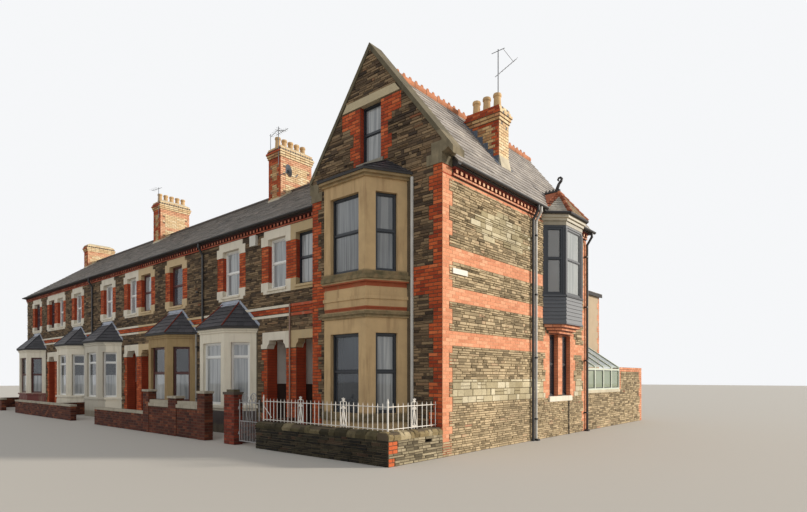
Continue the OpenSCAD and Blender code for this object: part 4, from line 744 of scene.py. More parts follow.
slates(sw, slope(OVER, 0, EAVES, (0, 1, 0), PW), VW, lambda v: (WALL, DEPTH + OVER), [stack])
def wing_span(v):
    """The inner slope on either side of the terrace's roof."""
    x = v * math.cos(PW)
    yf = FY - OVER + min(1, x / REACH) * (RIDGE_Y - FY + OVER)
    return [(-yf, -(WALL if x > OVER else FY - OVER)), (-(DEPTH + OVER), -(2 * RIDGE_Y - yf))]
slates(sw, slope(-WING - OVER, 0, EAVES, (0, -1, 0), PW), VW, wing_span)
sw.done()

# Half widths at wall and front, projection, overhang, eaves, top, half length of the ridge
ROW_BAY = (1.325, 0.685, 0.65, 0.11, 3.08, 3.85, 0.46)
END_BAY = (1.08, 0.64, 0.80, 0.14, 5.88, 6.32, 0.52)
def bay_eaves(base, half, proj, over):
    """Half widths of a canted roof's eaves, at the wall and in front."""
    b = base + over * math.hypot(base - half, proj) / proj
    return b, b - (proj + over) * (base - half) / proj

def canted_slates(out, c, y, base, half, proj, over, z, top, rh):
    """Slates on the three planes of a canted bay roof."""
    b, h = bay_eaves(base, half, proj, over)
    P = [Vector((c + x, y - d, z)) for x, d in ((-b, 0), (-h, proj + over), (h, proj + over), (b, 0))]
    T = [Vector((c - rh, y - 0.012, top)), Vector((c + rh, y - 0.012, top))]
    for q in ([P[0], P[1], T[0], T[0]], [P[1], P[2], T[1], T[0]], [P[2], P[3], T[1], T[1]]):
        u = (q[1] - q[0]).normalized()
        v = u.cross(q[3] - q[0]).normalized().cross(u)
        V = (q[3] - q[0]).dot(v)
        A, B, C, D = ((p - q[0]).dot(u) for p in q)
        slates(out, Sheet(q[0], u, v), V, lambda t: (A + (D - A) * t / V, B + (C - B) * t / V), gauge=0.17,
               w=0.22, d=0.016)

bs = Blocks("bay_slates", "slate_bay", "slate")
for k in range(2, HOUSES + 1):
    canted_slates(bs, inward(k, BAY), FY, *ROW_BAY)
canted_slates(bs, MID, 0, *END_BAY)
bs.done()

# Solid pieces
def solid(out, low, high, tone=0.5):
    """A solid between two outlines with the same number of corners, low one first."""
    i, n = len(out.v), len(low)
    out.v.extend(Vector(p) for p in list(low) + list(high))
    out.f.append(tuple(i + k for k in reversed(range(n))))
    out.f.append(tuple(i + n + k for k in range(n)))
    for k in range(n):
        m = (k + 1) % n
        out.f.append((i + k, i + m, i + n + m, i + n + k))
    out.t.extend([tone] * 2 * n)

def plan(x0, x1, y0, y1, z):
    """The corners of a rectangle at one height."""
    return [(x0, y0, z), (x1, y0, z), (x1, y1, z), (x0, y1, z)]
def box(out, a, b):
    (x0, y0, z0), (x1, y1, z1) = a, b
    solid(out, plan(x0, x1, y0, y1, z0), plan(x0, x1, y0, y1, z1))

def tube(out, path, r, sides=8, tone=0.5):
    """A round bar along a path; r is one radius or a start and an end."""
    path = [Vector(p) for p in path]
    last = len(path) - 1
    r0, r1 = r if isinstance(r, tuple) else (r, r)
    i, a = len(out.v), None
    for k, p in enumerate(path):
        d = (path[min(k + 1, last)] - path[max(k - 1, 0)]).normalized()
        if a is None:
            a = d.cross(UP if abs(d.z) < 0.9 else Vector((0, 1, 0)))
        a = (a - d * a.dot(d)).normalized()
        b = d.cross(a)
        q = r0 + (r1 - r0) * k / last
        for j in range(sides):
            w = 2 * math.pi * j / sides
            out.v.append(p + (a * math.cos(w) + b * math.sin(w)) * q)
    for k in range(last):
        rings(out, i, sides, k)
    out.f.append(tuple(i + j for j in reversed(range(sides))))
    out.f.append(tuple(i + last * sides + j for j in range(sides)))
    out.t.extend([tone] * sides * len(path))

def rings(out, i, n, k):
    """Faces between ring k of n points, counted from vertex i, and the next."""
    for j in range(n):
        m = (j + 1) % n
        out.f.append((i + k * n + j, i + k * n + m, i + (k + 1) * n + m, i + (k + 1) * n + j))

def scroll(out, centre, u, v, r, turns, start, bar, n, shrink=0.25):
    """A flat spiral in the plane of u and v that winds in from radius r."""
    c, u, v = Vector(centre), Vector(u), Vector(v)
    path = []
    for k in range(n + 1):
        t = k / n
        q = r * (1 - (1 - shrink) * t)
        w = start + 2 * math.pi * turns * t
        path.append(c + u * (q * math.cos(w)) + v * (q * math.sin(w)))
    tube(out, path, bar, 6)

def stones(out, s, a, b, n0, n1, z0, z1, length):
    """Rough rounded coping stones along a wall between the depths n0 and n1."""
    u, w = a, n1 - n0
    prof = [(n0, 0.0), (n0 - 0.012, 0.45), (n0 + w * 0.08, 0.82), (n0 + w * 0.32, 1.0), (n0 + w * 0.68, 1.0),
            (n1 - w * 0.08, 0.82), (n1 + 0.012, 0.45), (n1, 0.0)]
    m = len(prof)
    while u < b - 1e-4:
        l = R.uniform(*length)
        if b - u - l < length[0] * 0.6:
            l = b - u
        h = (z1 - z0) * R.uniform(0.84, 1.06)
        jog = [(R.uniform(-0.008, 0.008), R.uniform(-0.05, 0.05)) for _ in prof]
        i = len(out.v)
        g = min(0.02, l * 0.2)
        for pos, k in ((u + 0.002, 0.8), (u + g, 1.0), (u + l - g, 1.0), (u + l - 0.002, 0.8)):
            for (pn, pv), (jn, jv) in zip(prof, jog):
                out.v.append(s.p(pos, z0 + h * (pv + (jv if 0 < pv < 1 else 0)) * (k if pv else 1), pn + jn))
        for q in range(3):
            for j in range(m - 1):
                out.f.append((i + q * m + j, i + q * m + j + 1, i + (q + 1) * m + j + 1, i + (q + 1) * m + j))
        out.f.append(tuple(i + j for j in reversed(range(m))))
        out.f.append(tuple(i + 3 * m + j for j in range(m)))
        out.t.extend([R.random()] * 4 * m)
        u += l

def sides_of(x0, x1, y0, y1):
    """Front, right, back and left face of an upright block, with their widths."""
    return {"f": (Sheet((x0, y0, 0), (1, 0, 0)), x1 - x0), "r": (Sheet((x1, y0, 0), (0, 1, 0)), y1 - y0),
            "b": (Sheet((x1, y1, 0), (-1, 0, 0)), x1 - x0), "l": (Sheet((x0, y1, 0), (0, -1, 0)), y1 - y0)}

def clad(out, x0, x1, y0, y1, z0, z1, which="frbl"):
    """Brickwork round an upright block, or on some of its faces."""
    for key in which:
        s, w = sides_of(x0, x1, y0, y1)[key]
        bricks(out, s, whole(w, z0, z1), [], z0, z1)

# Eaves courses
de = Blocks("dentil_faces_front", "dentil_front", "brick")
# The flank's dentil faces take the paler copy of the brick: painted sunlight.
df = Blocks("dentil_faces_flank", "brick_pale_sunlit", "brick")
def dentils(out, s, a, b):
    n = int((b - a) / 0.163)
    for i in range(n):
        c = a + (i + 0.5) * (b - a) / n
        out.rect(s, c - 0.038, c + 0.038, 5.782, 5.858, 0.074, 0.002, R.random(), back=0.066)
    n = int((b - a) / BRICK)
    for i in range(n):
        c, w = a + (b - a) * i / n, (b - a) / n
        out.rect(s, c + 0.004, c + w - 0.004, 5.733, 5.777, 0.044, 0.002, R.random() * 0.5, back=0.036)
dentils(de, front, ROW_END, -WING)
dentils(df, flank, WALL, 4.24)
dentils(df, flank, 6.44, DEPTH)
done(de, df)

# Chimneys
cr = Blocks("chimney_red_bricks", "brick", "brick")
# The pale and cream bricks are sunlit copies for the chimneys' +X sides: painted sunlight.
cp = Blocks("chimney_sunlit_side_bricks", "brick_pale_sunlit", "brick")
ce = Blocks("chimney_sunlit_buff_bricks", "brick_buff_sunlit", "brick")
cb = Blocks("chimney_buff_bricks", "brick_buff", "brick")
# Black sheets at the backs of the gaps between bricks stand for the shade in them: painted shade.
cd = Blocks("chimney_recess_painted_shade", "iron_black", "brick")
cm = Blocks("chimney_mortar", "pale_mortar", "brick")
# Oversailing courses: foot and head below the stack's top, outset, and the kind of brick on the party
# stacks and on the wing's
COURSES = [(0.38, 0.30, 0.025, "buff", "buff"), (0.30, 0.22, 0.05, "buff", "buff"),
           (0.22, 0.15, 0.075, "red", "red"), (0.15, 0.075, 0.04, "dentil", "red"),
           (0.075, 0.0, 0.015, "buff", "red")]
CROWN = COURSES[0][0]
TOOTH = (0.115, 0.225)

def mound(x0, x1, y0, y1, z, h):
    """Mortar flaunching on top of a stack."""
    b = 0.15
    solid(cm, plan(x0, x1, y0, y1, z), plan(x0 + b, x1 - b, y0 + b, y1 - b, z + h))
def roof_z(y):
    """Height of the mortar line on the terrace's roof."""
    return EAVES + (RIDGE_Y - FY + OVER - abs(y - RIDGE_Y)) * math.tan(PT) + 0.02
def recess(s, gaps):
    """Black backs of the gaps between bricks, as painted shade in the recesses."""
    for gap in gaps:
        cd.rect(s, *gap, 0.002, 0, 0.5)
def shifted(points, dz):
    return [Vector(p) + Vector((0, 0, dz)) for p in points]

PARTY_TOP, END_TOP, foot = 10.02, 9.40, 7.85
for k in (2, 4, 6):
    x0, x1 = (line(k) - 0.36, line(k) + 0.36) if k < HOUSES else (ROW_END, ROW_END + 0.56)
    y0, y1 = STACK_Y
    top = PARTY_TOP if k < HOUSES else END_TOP
    z1 = top - CROWN
    # On the +X side, which faces the sun, the bricks are the paler copies: painted sunlight.
    for key, (s, w) in sides_of(x0, x1, y0, y1).items():
        red = teeth(-E, 1, *TOOTH, foot, z1, 0, 0.15) + teeth(w + E, -1, *TOOTH, foot, z1, 0, 0.15)
        red += [(-E, w + E, top - 1.35, top - 1.20), (-E, w + E, z1 - 3 * COURSE, z1)]
        bricks(cp if key == "r" else cr, s, red, [], foot, z1, off=z1 - COURSE * 60)
        bricks(ce if key == "r" else cb, s, [(-E, w + E, foot, z1)], red, foot, z1, off=z1 - COURSE * 60)
    for a, b, o, kind, _ in COURSES:
        z0, z1 = top - a, top - b
        dentil = kind == "dentil"
        for key, (s, w) in sides_of(x0 - o, x1 + o, y0 - o, y1 + o).items():
            out = ce if key == "r" else cr if kind == "red" or dentil and key == "f" else cb
            if dentil:
                recess(s, [(0, w, z0, z1)])
            look = dict(d=0.018, length=BRICK / 2, joint=0.05) if dentil else {}
            bricks(out, s, whole(w, z0, z1), [], z0, z1, course=z1 - z0, off=z0, **look)
    mound(x0, x1, y0, y1, top, 0.11)
    for sy, ya in ((-1, y0), (1, y1)):  # mortar fillets at the foot
        z = roof_z(ya)
        low = plan(x0, x1, ya + sy * 0.05, ya, z - 0.05)
        lip = ya + sy * 0.015
        high = [(x0, lip, z + 0.04), (x1, lip, z + 0.04), (x1, ya, z + 0.06), (x0, ya, z + 0.06)]
        solid(cm, low[::-sy], high[::-sy])
    for sx, xa in ((-1, x0), (1, x1)):
        for ya, yb in ((y0, RIDGE_Y), (RIDGE_Y, y1)):
            za, zb = roof_z(ya), roof_z(yb)
            q = [(xa + sx * 0.04, ya, za), (xa + sx * 0.04, yb, zb), (xa, yb, zb), (xa, ya, za)][::sx]
            solid(cm, shifted(q, -0.05), shifted(q, 0.05))

x0, x1, y0, y1, top, foot = -1.60, -0.65, 3.28, 3.76, 8.53, 6.95  # the wing's stack
z1 = top - CROWN
# The wing's stack also takes the paler copies on its sunlit +X side: painted sunlight.
for key, (s, w) in sides_of(x0, x1, y0, y1).items():
    corner = {"f": (w + E, -1), "b": (-E, 1)}.get(key)
    red = teeth(*corner, *TOOTH, foot, z1, 0, COURSE) + [(-E, w + E, z1 - COURSE, z1)] if corner else []
    bricks(cr, s, red, [], foot, z1, off=z1 - 3)
    gaps = [(0.11, 0.17, z1 - COURSE, z1), (0.33, 0.39, z1 - 2 * COURSE, z1 - COURSE)] if key == "r" else []
    recess(s, gaps)
    bricks(ce if key == "r" else cb, s, [(-E, w + E, foot, z1)], red + gaps, foot, z1, off=z1 - 3)
for a, b, o, _, kind in COURSES:
    z0, z1 = top - a, top - b
    for key, (s, w) in sides_of(x0 - o, x1 + o, y0 - o, y1 + o).items():
        gaps = [(0.13, 0.19, z0, z1), (0.36, 0.42, z0, z1)] if key == "r" and a in (0.22, 0.075) else []
        recess(s, gaps)
        out = ce if key == "r" else cr if kind == "red" and key in "fb" else cb
        bricks(out, s, whole(w, z0, z1), gaps, z0, z1, course=z1 - z0, off=z0)
mound(x0, x1, y0, y1, top, 0.09)
def wing_z(x):
    return W_RIDGE - math.tan(PW) * (x - MID)
za, zb = wing_z(x1), wing_z(x1 + 0.09)
low, high = ([(x1 - 0.02, y0, z), (x1 + d, y0, w), (x1 + d, y1, w), (x1 - 0.02, y1, z)]
             for d, z, w in ((0.09, za - 0.1, zb), (0.012, za + 0.26, za + 0.24)))
solid(cm, low, high)
done(cr, cp, ce, cb, cd, cm)
le = Blocks("lead_flashings", "lead", "slate")
n, thick = 6, 0.014
for i in range(n):  # lead stepped up both sides of the wing's stack
    a, b = x0 + (x1 - x0) * i / n, x0 + (x1 - x0) * (i + 1) / n
    za, zb = wing_z(a) + 0.045, wing_z(b) - 0.03
    for p, q in ((y0 - thick, y0), (y1, y1 + thick)):
        solid(le, plan(a, b, p, q, zb), [(a, p, za), (b, p, za - 0.02), (b, q, za - 0.02), (a, q, za)])
s = slope(x1, y0 - 0.15, wing_z(x1), (0, 1, 0), PW)
for a, b in ((0.0, 0.15), (0.63, 0.76)):
    le.rect(s, a, b, -0.06, (x1 - x0) / math.cos(PW) + 0.1, 0.026, 0.0, 0.5)
le.done()

# Edges of the bay roofs
def hips(out, c, y, base, half, proj, over, z, top, rh, r):
    _, h = bay_eaves(base, half, proj, over)
    for s in (-1, 1):
        eaves = Vector((c + s * h, y - proj - over, z + 0.012))
        tube(out, [eaves, Vector((c + s * rh, y - 0.02, top + 0.005))], r, 6, R.random())
def verges(out, c, y, base, half, proj, over, z, top, rh):
    """Lead up the wall along both ends of a canted roof."""
    b, _ = bay_eaves(base, half, proj, over)
    for s in (-1, 1):
        a, e = Vector((c + s * b, y - 0.012, z)), Vector((c + s * rh, y - 0.012, top))
        rise = Vector((s * (top - z), 0, b - rh)).normalized() * 0.085
        near, far = Vector((0, -0.012, -0.01)), Vector((0, 0.0, -0.01))
        q = [a + near, e + near, e + far, a + far][::-s]
        solid(out, q, [p + rise for p in q])
le = Blocks("bay_roof_leads", "lead_pale", "slate")
for k in range(2, HOUSES + 1):  # lead over the tops of the bay roofs
    c = inward(k, BAY)
    box(le, (c - 0.47, FY - 0.03, 3.83), (c + 0.47, FY, 3.93))
    low, high = ([(c - 0.49, FY - y, z0), (c + 0.49, FY - y, z0), (c + 0.47, FY, z1), (c - 0.47, FY, z1)]
                 for y, z0, z1 in ((0.09, 3.78, 3.80), (0.085, 3.80, 3.855)))
    solid(le, low, high)
ht = Blocks("bay_hip_tiles", "brick_dark", "slate")
hd = Blocks("bay_hip_leads", "slate_bay", "slate")
for k in range(2, HOUSES + 1):
    hips(ht if k < 4 else hd, inward(k, BAY), FY, *ROW_BAY, 0.024)
    verges(le, inward(k, BAY), FY, *ROW_BAY)
hips(hd, MID, 0, *END_BAY, 0.02)
done(le, ht, hd)

# Oriel on the flank
ORIEL_Y, PROJ = 5.34, 0.45  # its middle and how far it stands out
CANT = (0.731, 0.682)  # direction of the canted side
def oriel_faces(inset=0.0):
    """The three faces of the oriel as sheets with their widths."""
    yb = ORIEL[0] + 1.367 * inset
    t = (PROJ - inset) / CANT[0]
    ym = yb + t * CANT[1]
    yn = 2 * ORIEL_Y - ym
    return [(Sheet((0, yb, 0), (*CANT, 0)), t), (Sheet((PROJ - inset, ym, 0), (0, 1, 0)), yn - ym),
            (Sheet((PROJ - inset, yn, 0), (-CANT[0], CANT[1], 0)), t)]
ob = Blocks("oriel_boards", "boards", "grey_paint")
for s, w in oriel_faces():
    for i in range(7):
        z = 3.04 + i * 0.0985
        ob.rect(s, 0.0, w, z, z + 0.101, (0.02, 0.02, 0.004, 0.004), 0.0, 0.5, back=-0.002)
    ob.rect(s, -0.008, w + 0.008, 3.725, 3.765, 0.035, 0.004, 0.5)
for y in (4.82, 5.86):  # corner posts
    tube(ob, [(PROJ - 0.004, y, 3.76), (PROJ - 0.004, y, 5.52)], 0.03, 8)
ob.done()
oc = Blocks("oriel_corbel_bricks", "brick_sunlit", "brick")
for i, inset in enumerate((0.06, 0.15, 0.24)):
    z = ORIEL_FOOT - COURSE * (i + 1)
    for s, w in oriel_faces(inset):
        bricks(oc, s, whole(w, z, z), [], z, z + 0.074, course=0.074, off=z, d=0.006)
oc.done()
P = [Vector((x, y, 5.90)) for x, y in ((0, 4.222), (0.58, 4.764), (0.58, 5.917), (0, 6.458))]  # eaves
APEX = Vector((0, ORIEL_Y, 6.69))
of = Blocks("oriel_slates", "slate_oriel", "slate")
ot = Blocks("oriel_clay_tiles", "clay_tile", "slate")
oi = Blocks("oriel_ribbed_tiles", "tile_pale", "slate")
def facet(a, b):
    """The plane from the eaves a, b to the apex, its width, and the apex's place on it."""
    u = (b - a).normalized()
    s = Sheet(a, u, u.cross(APEX - a).normalized().cross(u))
    return s, (b - a).length, (APEX - a).dot(s.u), (APEX - a).dot(s.v)
for i in (0, 2):
    s, w, U, V = facet(P[i], P[i + 1])
    def span(v, tiled):
        """Clay tiles along the wall, slates on the rest."""
        l, r = U * v / V, w + (U - w) * v / V
        k = min(0.13, r - l)
        if i == 0:
            return (l, l + k) if tiled else (l + k, r)
        return (r - k, r) if tiled else (l, r - k)
    slates(of, s, V, lambda v: span(v, False), gauge=0.13, w=0.17, d=0.016)
    slates(ot, s, V, lambda v: span(v, True), gauge=0.15, w=0.16, d=0.022)
s, w, U, V = facet(P[1], P[2])
n = 13
for i in range(n):  # ribbed tiles running up the main face
    a, b = w * i / n, w * (i + 1) / n
    m = (a + b) / 2
    reach = V * (m / U if m < U else (w - m) / (w - U)) - 0.02
    if reach > 0.05:
        tube(oi, [s.p(m, 0, 0.01), s.p(m, reach, 0.01)], (0.022, 0.020), 6, (i % 2) * 0.6 + 0.2)
        oi.rect(s, a, b, 0, max(reach - 0.03, 0.03), 0.008, 0.0, 0.3)
for sgn, y in ((1, P[0].y), (-1, P[3].y)):  # small side slopes against the wing roof
    tip = Vector((-0.4, ORIEL_Y, APEX.z))
    low = Vector((0, y + sgn * 0.396, 6.18))
    q = [APEX, tip, low] if sgn > 0 else [low, tip, APEX]
    nrm = (q[1] - q[0]).cross(q[2] - q[0]).normalized() * 0.02
    solid(ot, q, [p + nrm for p in q], 0.6)
for e in P[1:3]:  # hip tiles
    d = APEX - e
    for i in range(6):
        a, b = e + d * (i / 6), e + d * ((i + 1.04) / 6)
        tube(ot, [a + UP * 0.012, b + UP * 0.004], (0.062, 0.052), 8, R.random())
done(of, ot, oi)
oc = Blocks("oriel_cresting", "iron_black", "ridge_clay")
tube(oc, [(0.0, ORIEL_Y, 6.71), (-0.42, ORIEL_Y, 6.71)], 0.05, 8)
for i in range(4):
    x = -0.05 - i * 0.105
    tube(oc, [(x, ORIEL_Y, 6.73), (x, ORIEL_Y, 6.80)], (0.045, 0.02), 6)
FINIAL = [(0.0, 0.02), (-0.06, 0.06), (-0.02, 0.14), (0.02, 0.23), (0.08, 0.29), (0.10, 0.35), (0.06, 0.39),
          (0.01, 0.385), (-0.015, 0.345), (0.01, 0.31)]
tube(oc, [(x, ORIEL_Y, APEX.z + z) for x, z in FINIAL], (0.05, 0.022), 8)
tube(oc, [(0, ORIEL_Y, 6.62), (0, ORIEL_Y, 6.76)], (0.08, 0.055), 8)
for a, b in zip(P, P[1:]):  # iron gutter round the oriel's eaves
    tube(oc, [a - UP * 0.01, b - UP * 0.01], 0.042, 8)
oc.done()

# Garden walls
gw = Blocks("garden_wall_rubble", "rubble_low", "rubble")
gf = Blocks("garden_return_rubble", "rubble_return_sunlit", "rubble")
gb = Blocks("garden_wall_bricks", "brick_garden", "brick")
gp = Blocks("gate_pier_bricks", "brick_dark", "brick")
gq = Blocks("garden_return_bricks", "brick", "brick")
gc = Blocks("garden_wall_coping_stones", "cope_stone", "coping_stone")
gr = Blocks("garden_return_coping_stones", "cope_return_sunlit", "coping_stone")
# The stone wall's street face, far end, thickness, and top under the coping
GY, STONE_END, STONE_T, STONE_H = -1.6, -4.05, 0.3, 0.47
street = Sheet((0, GY, 0), (1, 0, 0))
inner = Sheet((0, GY + STONE_T, 0), (-1, 0, 0))
turn = Sheet((0, GY, 0), (0, 1, 0))
rubble(gw, street, STONE_END, 0.0, 0.0, STONE_H, [], course=0.052, length=(0.10, 0.34), red=0.05)
rubble(gw, inner, STONE_T, -STONE_END, 0.0, STONE_H, [], course=0.07)
patch = [(0.0, 0.24, 0.24, 0.45), (0.0, 0.16, 0.02, 0.15)]
vent = [(1.04, 1.24, 0.35, 0.41)]
bricks(gq, turn, patch, [], 0.0, STONE_H, shade=(0.8, 1))
gq.done()
rubble(gf, turn, 0.0, -GY, 0.0, STONE_H, patch + vent, course=0.055, length=(0.10, 0.30), red=0.1)
rubble(gw, Sheet((-STONE_T, 0, 0), (0, -1, 0)), 0.0, 1.3, 0.0, STONE_H, [], course=0.07)
rubble(gw, Sheet((STONE_END, -1.3, 0), (0, -1, 0)), 0.0, STONE_T, 0.0, STONE_H, [], course=0.06, red=0.5)
COPE = (-0.31, 0.012, 0.465, 0.615)  # inner and outer edge, foot and top
stones(gc, street, STONE_END, -0.28, *COPE, (0.16, 0.36))
gc.done()
stones(gr, turn, 0.0, 1.60, *COPE, (0.09, 0.20))
PIER_H, WALL_H, LOW_H = 1.19, 0.78, 0.52
OPEN = 1.15  # from the party line to the near side of an opening
FACES = (-1.58, -1.395)  # street and garden face of the brick walls
piers = [(-5.38, 0.43, PIER_H), (-6.66, 0.36, PIER_H), (line(2) + 1.81, 0.45, 1.03),
         (line(2) + 0.24, 0.36, PIER_H)]
for i, (x, w, h) in enumerate(piers):
    clad(gb if i else gp, x, x + w, GY, -1.375, 0.0, h)
runs = [(piers[2][0] + piers[2][1], piers[1][0], WALL_H), (piers[3][0] + piers[3][1], piers[2][0], WALL_H),
        (line(3) + OPEN, piers[3][0], LOW_H), (line(5) + OPEN, line(3) - OPEN, LOW_H),
        (ROW_END, line(5) - OPEN, LOW_H)]
for a, b, h in runs:
    clad(gb, a, b, *FACES, 0.0, h, "fb")
for a, key in ((runs[2][0], "l"), (runs[3][0], "l"), (runs[3][1], "r"), (runs[4][1], "r")):
    clad(gb, a, a, *FACES, 0.0, LOW_H, key)
for x in (-5.24, line(2), line(4), ROW_END + 0.1):
    clad(gb, x - 0.1, x + 0.1, -1.37, FY, 0.0, LOW_H, "lr")
caps = Blocks("pier_caps", "coping", "coping_stone")
x, w, h = piers[0]  # stepped dark cap on the gate pier
box(caps, (x + 0.06, -1.57, h + 0.06), (x + w - 0.06, -1.405, h + 0.12))
done(gw, gf, gb, gp, gr, caps)

# Railing and gate castings
ra = Blocks("railing_ironwork", "iron_white", "white_iron")
RX, RY, REND = -0.15, -1.45, -3.97  # lines of the return and the front rail, far post
RFOOT, RTOP = 0.615, 1.06  # top of the coping, top rail
def casting(at, u):
    """An open cast panel between two bars, with a splayed pair of stems, curls and a finial."""
    at, u = Vector(at), Vector(u)
    def p(a, h):
        return at + u * a + UP * h
    def bar(s, r, n, *points):
        tube(ra, [p(s * a, h) for a, h in points], r, n)
    def curl(s, a, h, r, turns, start, end):
        scroll(ra, p(s * a, h), u * s, UP, r, turns, start, (0.009, end), 14)
    for s in (-1, 1):
        bar(s, (0.010, 0.006), 8, (0.085, RFOOT), (0.085, 1.09), (0.085, 1.13))
        bar(s, (0.009, 0.012), 6, (0, 1.03), (0.024, 0.90), (0.052, 0.76), (0.075, 0.66))
        curl(s, 0.034, 0.665, 0.026, 1.2, -1.2, 0.007)
        curl(s, 0.045, 1.005, 0.024, 1.1, 1.6, 0.006)
        bar(s, (0.012, 0.008), 6, (0, 1.12), (0.028, 1.145), (0.052, 1.125))
        bar(s, (0.012, 0.008), 6, (0, 1.16), (0.024, 1.168), (0.040, 1.190))
    bar(1, (0.009, 0.007), 6, (0, RFOOT), (0, 1.10), (0, 1.205))
    for h in (0.70, 1.04, 1.155):
        tube(ra, [p(0, h - 0.018), p(0, h), p(0, h + 0.018)], 0.015, 8)
def spear(x, y):
    tube(ra, [(x, y, RFOOT), (x, y, 1.08)], 0.008, 8)
    tube(ra, [(x, y, 1.08), (x, y, 1.13)], (0.009, 0.001), 8)
for z in (RFOOT + 0.035, RTOP):
    box(ra, (REND - 0.02, RY - 0.014, z - 0.006), (RX, RY + 0.014, z + 0.006))
    box(ra, (RX - 0.014, RY, z - 0.006), (RX + 0.014, -0.015, z + 0.006))
panels, turned = [RX * t + REND * (1 - t) for t in (0.347, 0.692)], RY * 0.483
CLEAR = 0.11  # no spears this close to a panel's middle
for i in range(1, 30):
    x = RX + (REND - RX) * i / 30
    if min(abs(x - p) for p in panels) > CLEAR:
        spear(x, RY)
for i in range(1, 11):
    y = RY + (-0.03 - RY) * i / 10
    if abs(y - turned) > CLEAR:
        spear(RX, y)
for x in panels:
    casting((x, RY, 0), (1, 0, 0))
casting((RX, turned, 0), (0, 1, 0))
for x in (RX, REND):
    tube(ra, [(x, RY, RFOOT), (x, RY, 1.14)], 0.017, 10)
    tube(ra, [(x, RY, 1.13), (x, RY, 1.17), (x, RY, 1.21)], (0.024, 0.005), 10)
tube(ra, [(-3.955, RY, 0.945), (-3.664, RY, 0.70)], 0.007, 8)
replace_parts(ra.done(), "garden_railing")
ga = Blocks("gate_scrolls", "iron_dark", "dark_iron", "gate")
GATE_Y, CURL_Z = -1.4875, 1.11
for x, s in ((-4.62, 1), (-4.36, -1)):
    scroll(ga, (x, GATE_Y, CURL_Z + 0.02), (s, 0, 0), UP, 0.085, 1.35, -0.5, (0.008, 0.005), 24, 0.2)
    scroll(ga, (x - s * 0.13, GATE_Y, CURL_Z - 0.04), (s, 0, 0), UP, 0.05, 1.2, 1.2, (0.007, 0.005), 16)
    tube(ga, [(x + s * d, GATE_Y, z) for d, z in ((0.02, 1.05), (0.06, 0.90), (0.02, 0.72), (0.08, 0.58))],
         0.007, 6)
ga.done()

# Small fittings
nm = Blocks("blank_nameplate", "plate", "white_plastic")
box(nm, (0.020, 0.32, 3.73), (0.040, 0.85, 3.84))
box(nm, (-7.20, 0.30, 5.40), (-6.90, 0.388, 5.70))  # alarm box
nm.done()
dd = Blocks("dish_and_aerials", "metal", "aerial_metal")
c, aim = Vector((-9.31, 3.32, 9.02)), Vector((0.17, 0.92, 0.35)).normalized()
u = aim.cross(UP).normalized()
v = u.cross(aim)
m = 20
dish = ((0.0, 0.05), (0.11, 0.036), (0.205, 0.0), (0.11, 0.046), (0.0, 0.062))  # radius, depth
for r, dz in dish:
    for k in range(m):
        w = 2 * math.pi * k / m
        dd.v.append(c - aim * dz + u * r * math.cos(w) + v * r * 1.08 * math.sin(w))
for q in range(len(dish) - 1):
    rings(dd, 0, m, q)
dd.t.extend([0.5] * len(dish) * m)
tube(dd, [c - aim * 0.05, c - aim * 0.12 - v * 0.05, (-9.50, 3.19, 8.92), (-9.70, 3.22, 8.92)], 0.016, 6)
box(dd, (c.x - 0.035, c.y - 0.12, c.z - 0.12), (c.x + 0.035, c.y - 0.04, c.z + 0.0))
tube(dd, [c - v * 0.2, c - v * 0.26 + aim * 0.22], 0.008, 6)
tube(dd, [c - v * 0.26 + aim * 0.2, c - v * 0.18 + aim * 0.3], 0.02, 6)
mast = Vector((-9.74, 3.19, 9.3))
tube(dd, [mast, mast + UP * 1.39], 0.013, 6)
tube(dd, [(-10.46, 3.36, 9.25), (-10.46, 3.36, 10.68)], 0.011, 6)
for h, a, l in ((1.30, (-0.72, 0.17, -0.03), 0.72), (1.24, (0.9, -0.15, -0.30), 0.55),
                (1.12, (0.8, 0.35, 0.35), 0.42)):
    e = mast + UP * h
    a = Vector(a).normalized()
    q = a.cross(UP).normalized()
    tube(dd, [e - a * 0.10, e + a * l], 0.008, 6)
    for j in range(6):
        p = e + a * (-0.05 + l * j / 5.2)
        tube(dd, [p - q * 0.10, p + q * 0.10], 0.004, 5)
mast = Vector((line(4) + 0.28, 3.20, 9.2))
tube(dd, [mast, mast + UP * 1.45], 0.012, 6)
tube(dd, [mast + Vector((-0.5, -0.1, 1.38)), mast + Vector((0.25, 0.05, 1.40))], 0.007, 6)
for j in range(5):
    p, q = mast + Vector((-0.45 + j * 0.13, -0.09, 1.385)), Vector((0.02, 0.13, 0))
    tube(dd, [p - q, p + q], 0.0035, 5)
dd.done()
br = Blocks("pipe_brackets", "gutter", "gutter_plastic")
for y in (3.90, 7.12):
    for z in (0.55, 2.1, 3.7, 5.2):
        tube(br, [(0.062, y, z - 0.02), (0.062, y, z + 0.02)], 0.052, 10)
        box(br, (0.0, y - 0.07, z - 0.012), (0.03, y + 0.07, z + 0.012))
    box(br, (0.03, y - 0.05, 0.0), (0.15, y + 0.05, 0.05))
tube(br, [(0.03, 5.96, 1.0), (0.03, 5.96, 0.0)], 0.016, 6)
for x in (line(2) - 0.2, line(4) - 0.2):
    for z in (0.9, 2.6, 4.4):
        tube(br, [(x, FY - 0.062, z - 0.02), (x, FY - 0.062, z + 0.02)], 0.05, 10)
br.done()

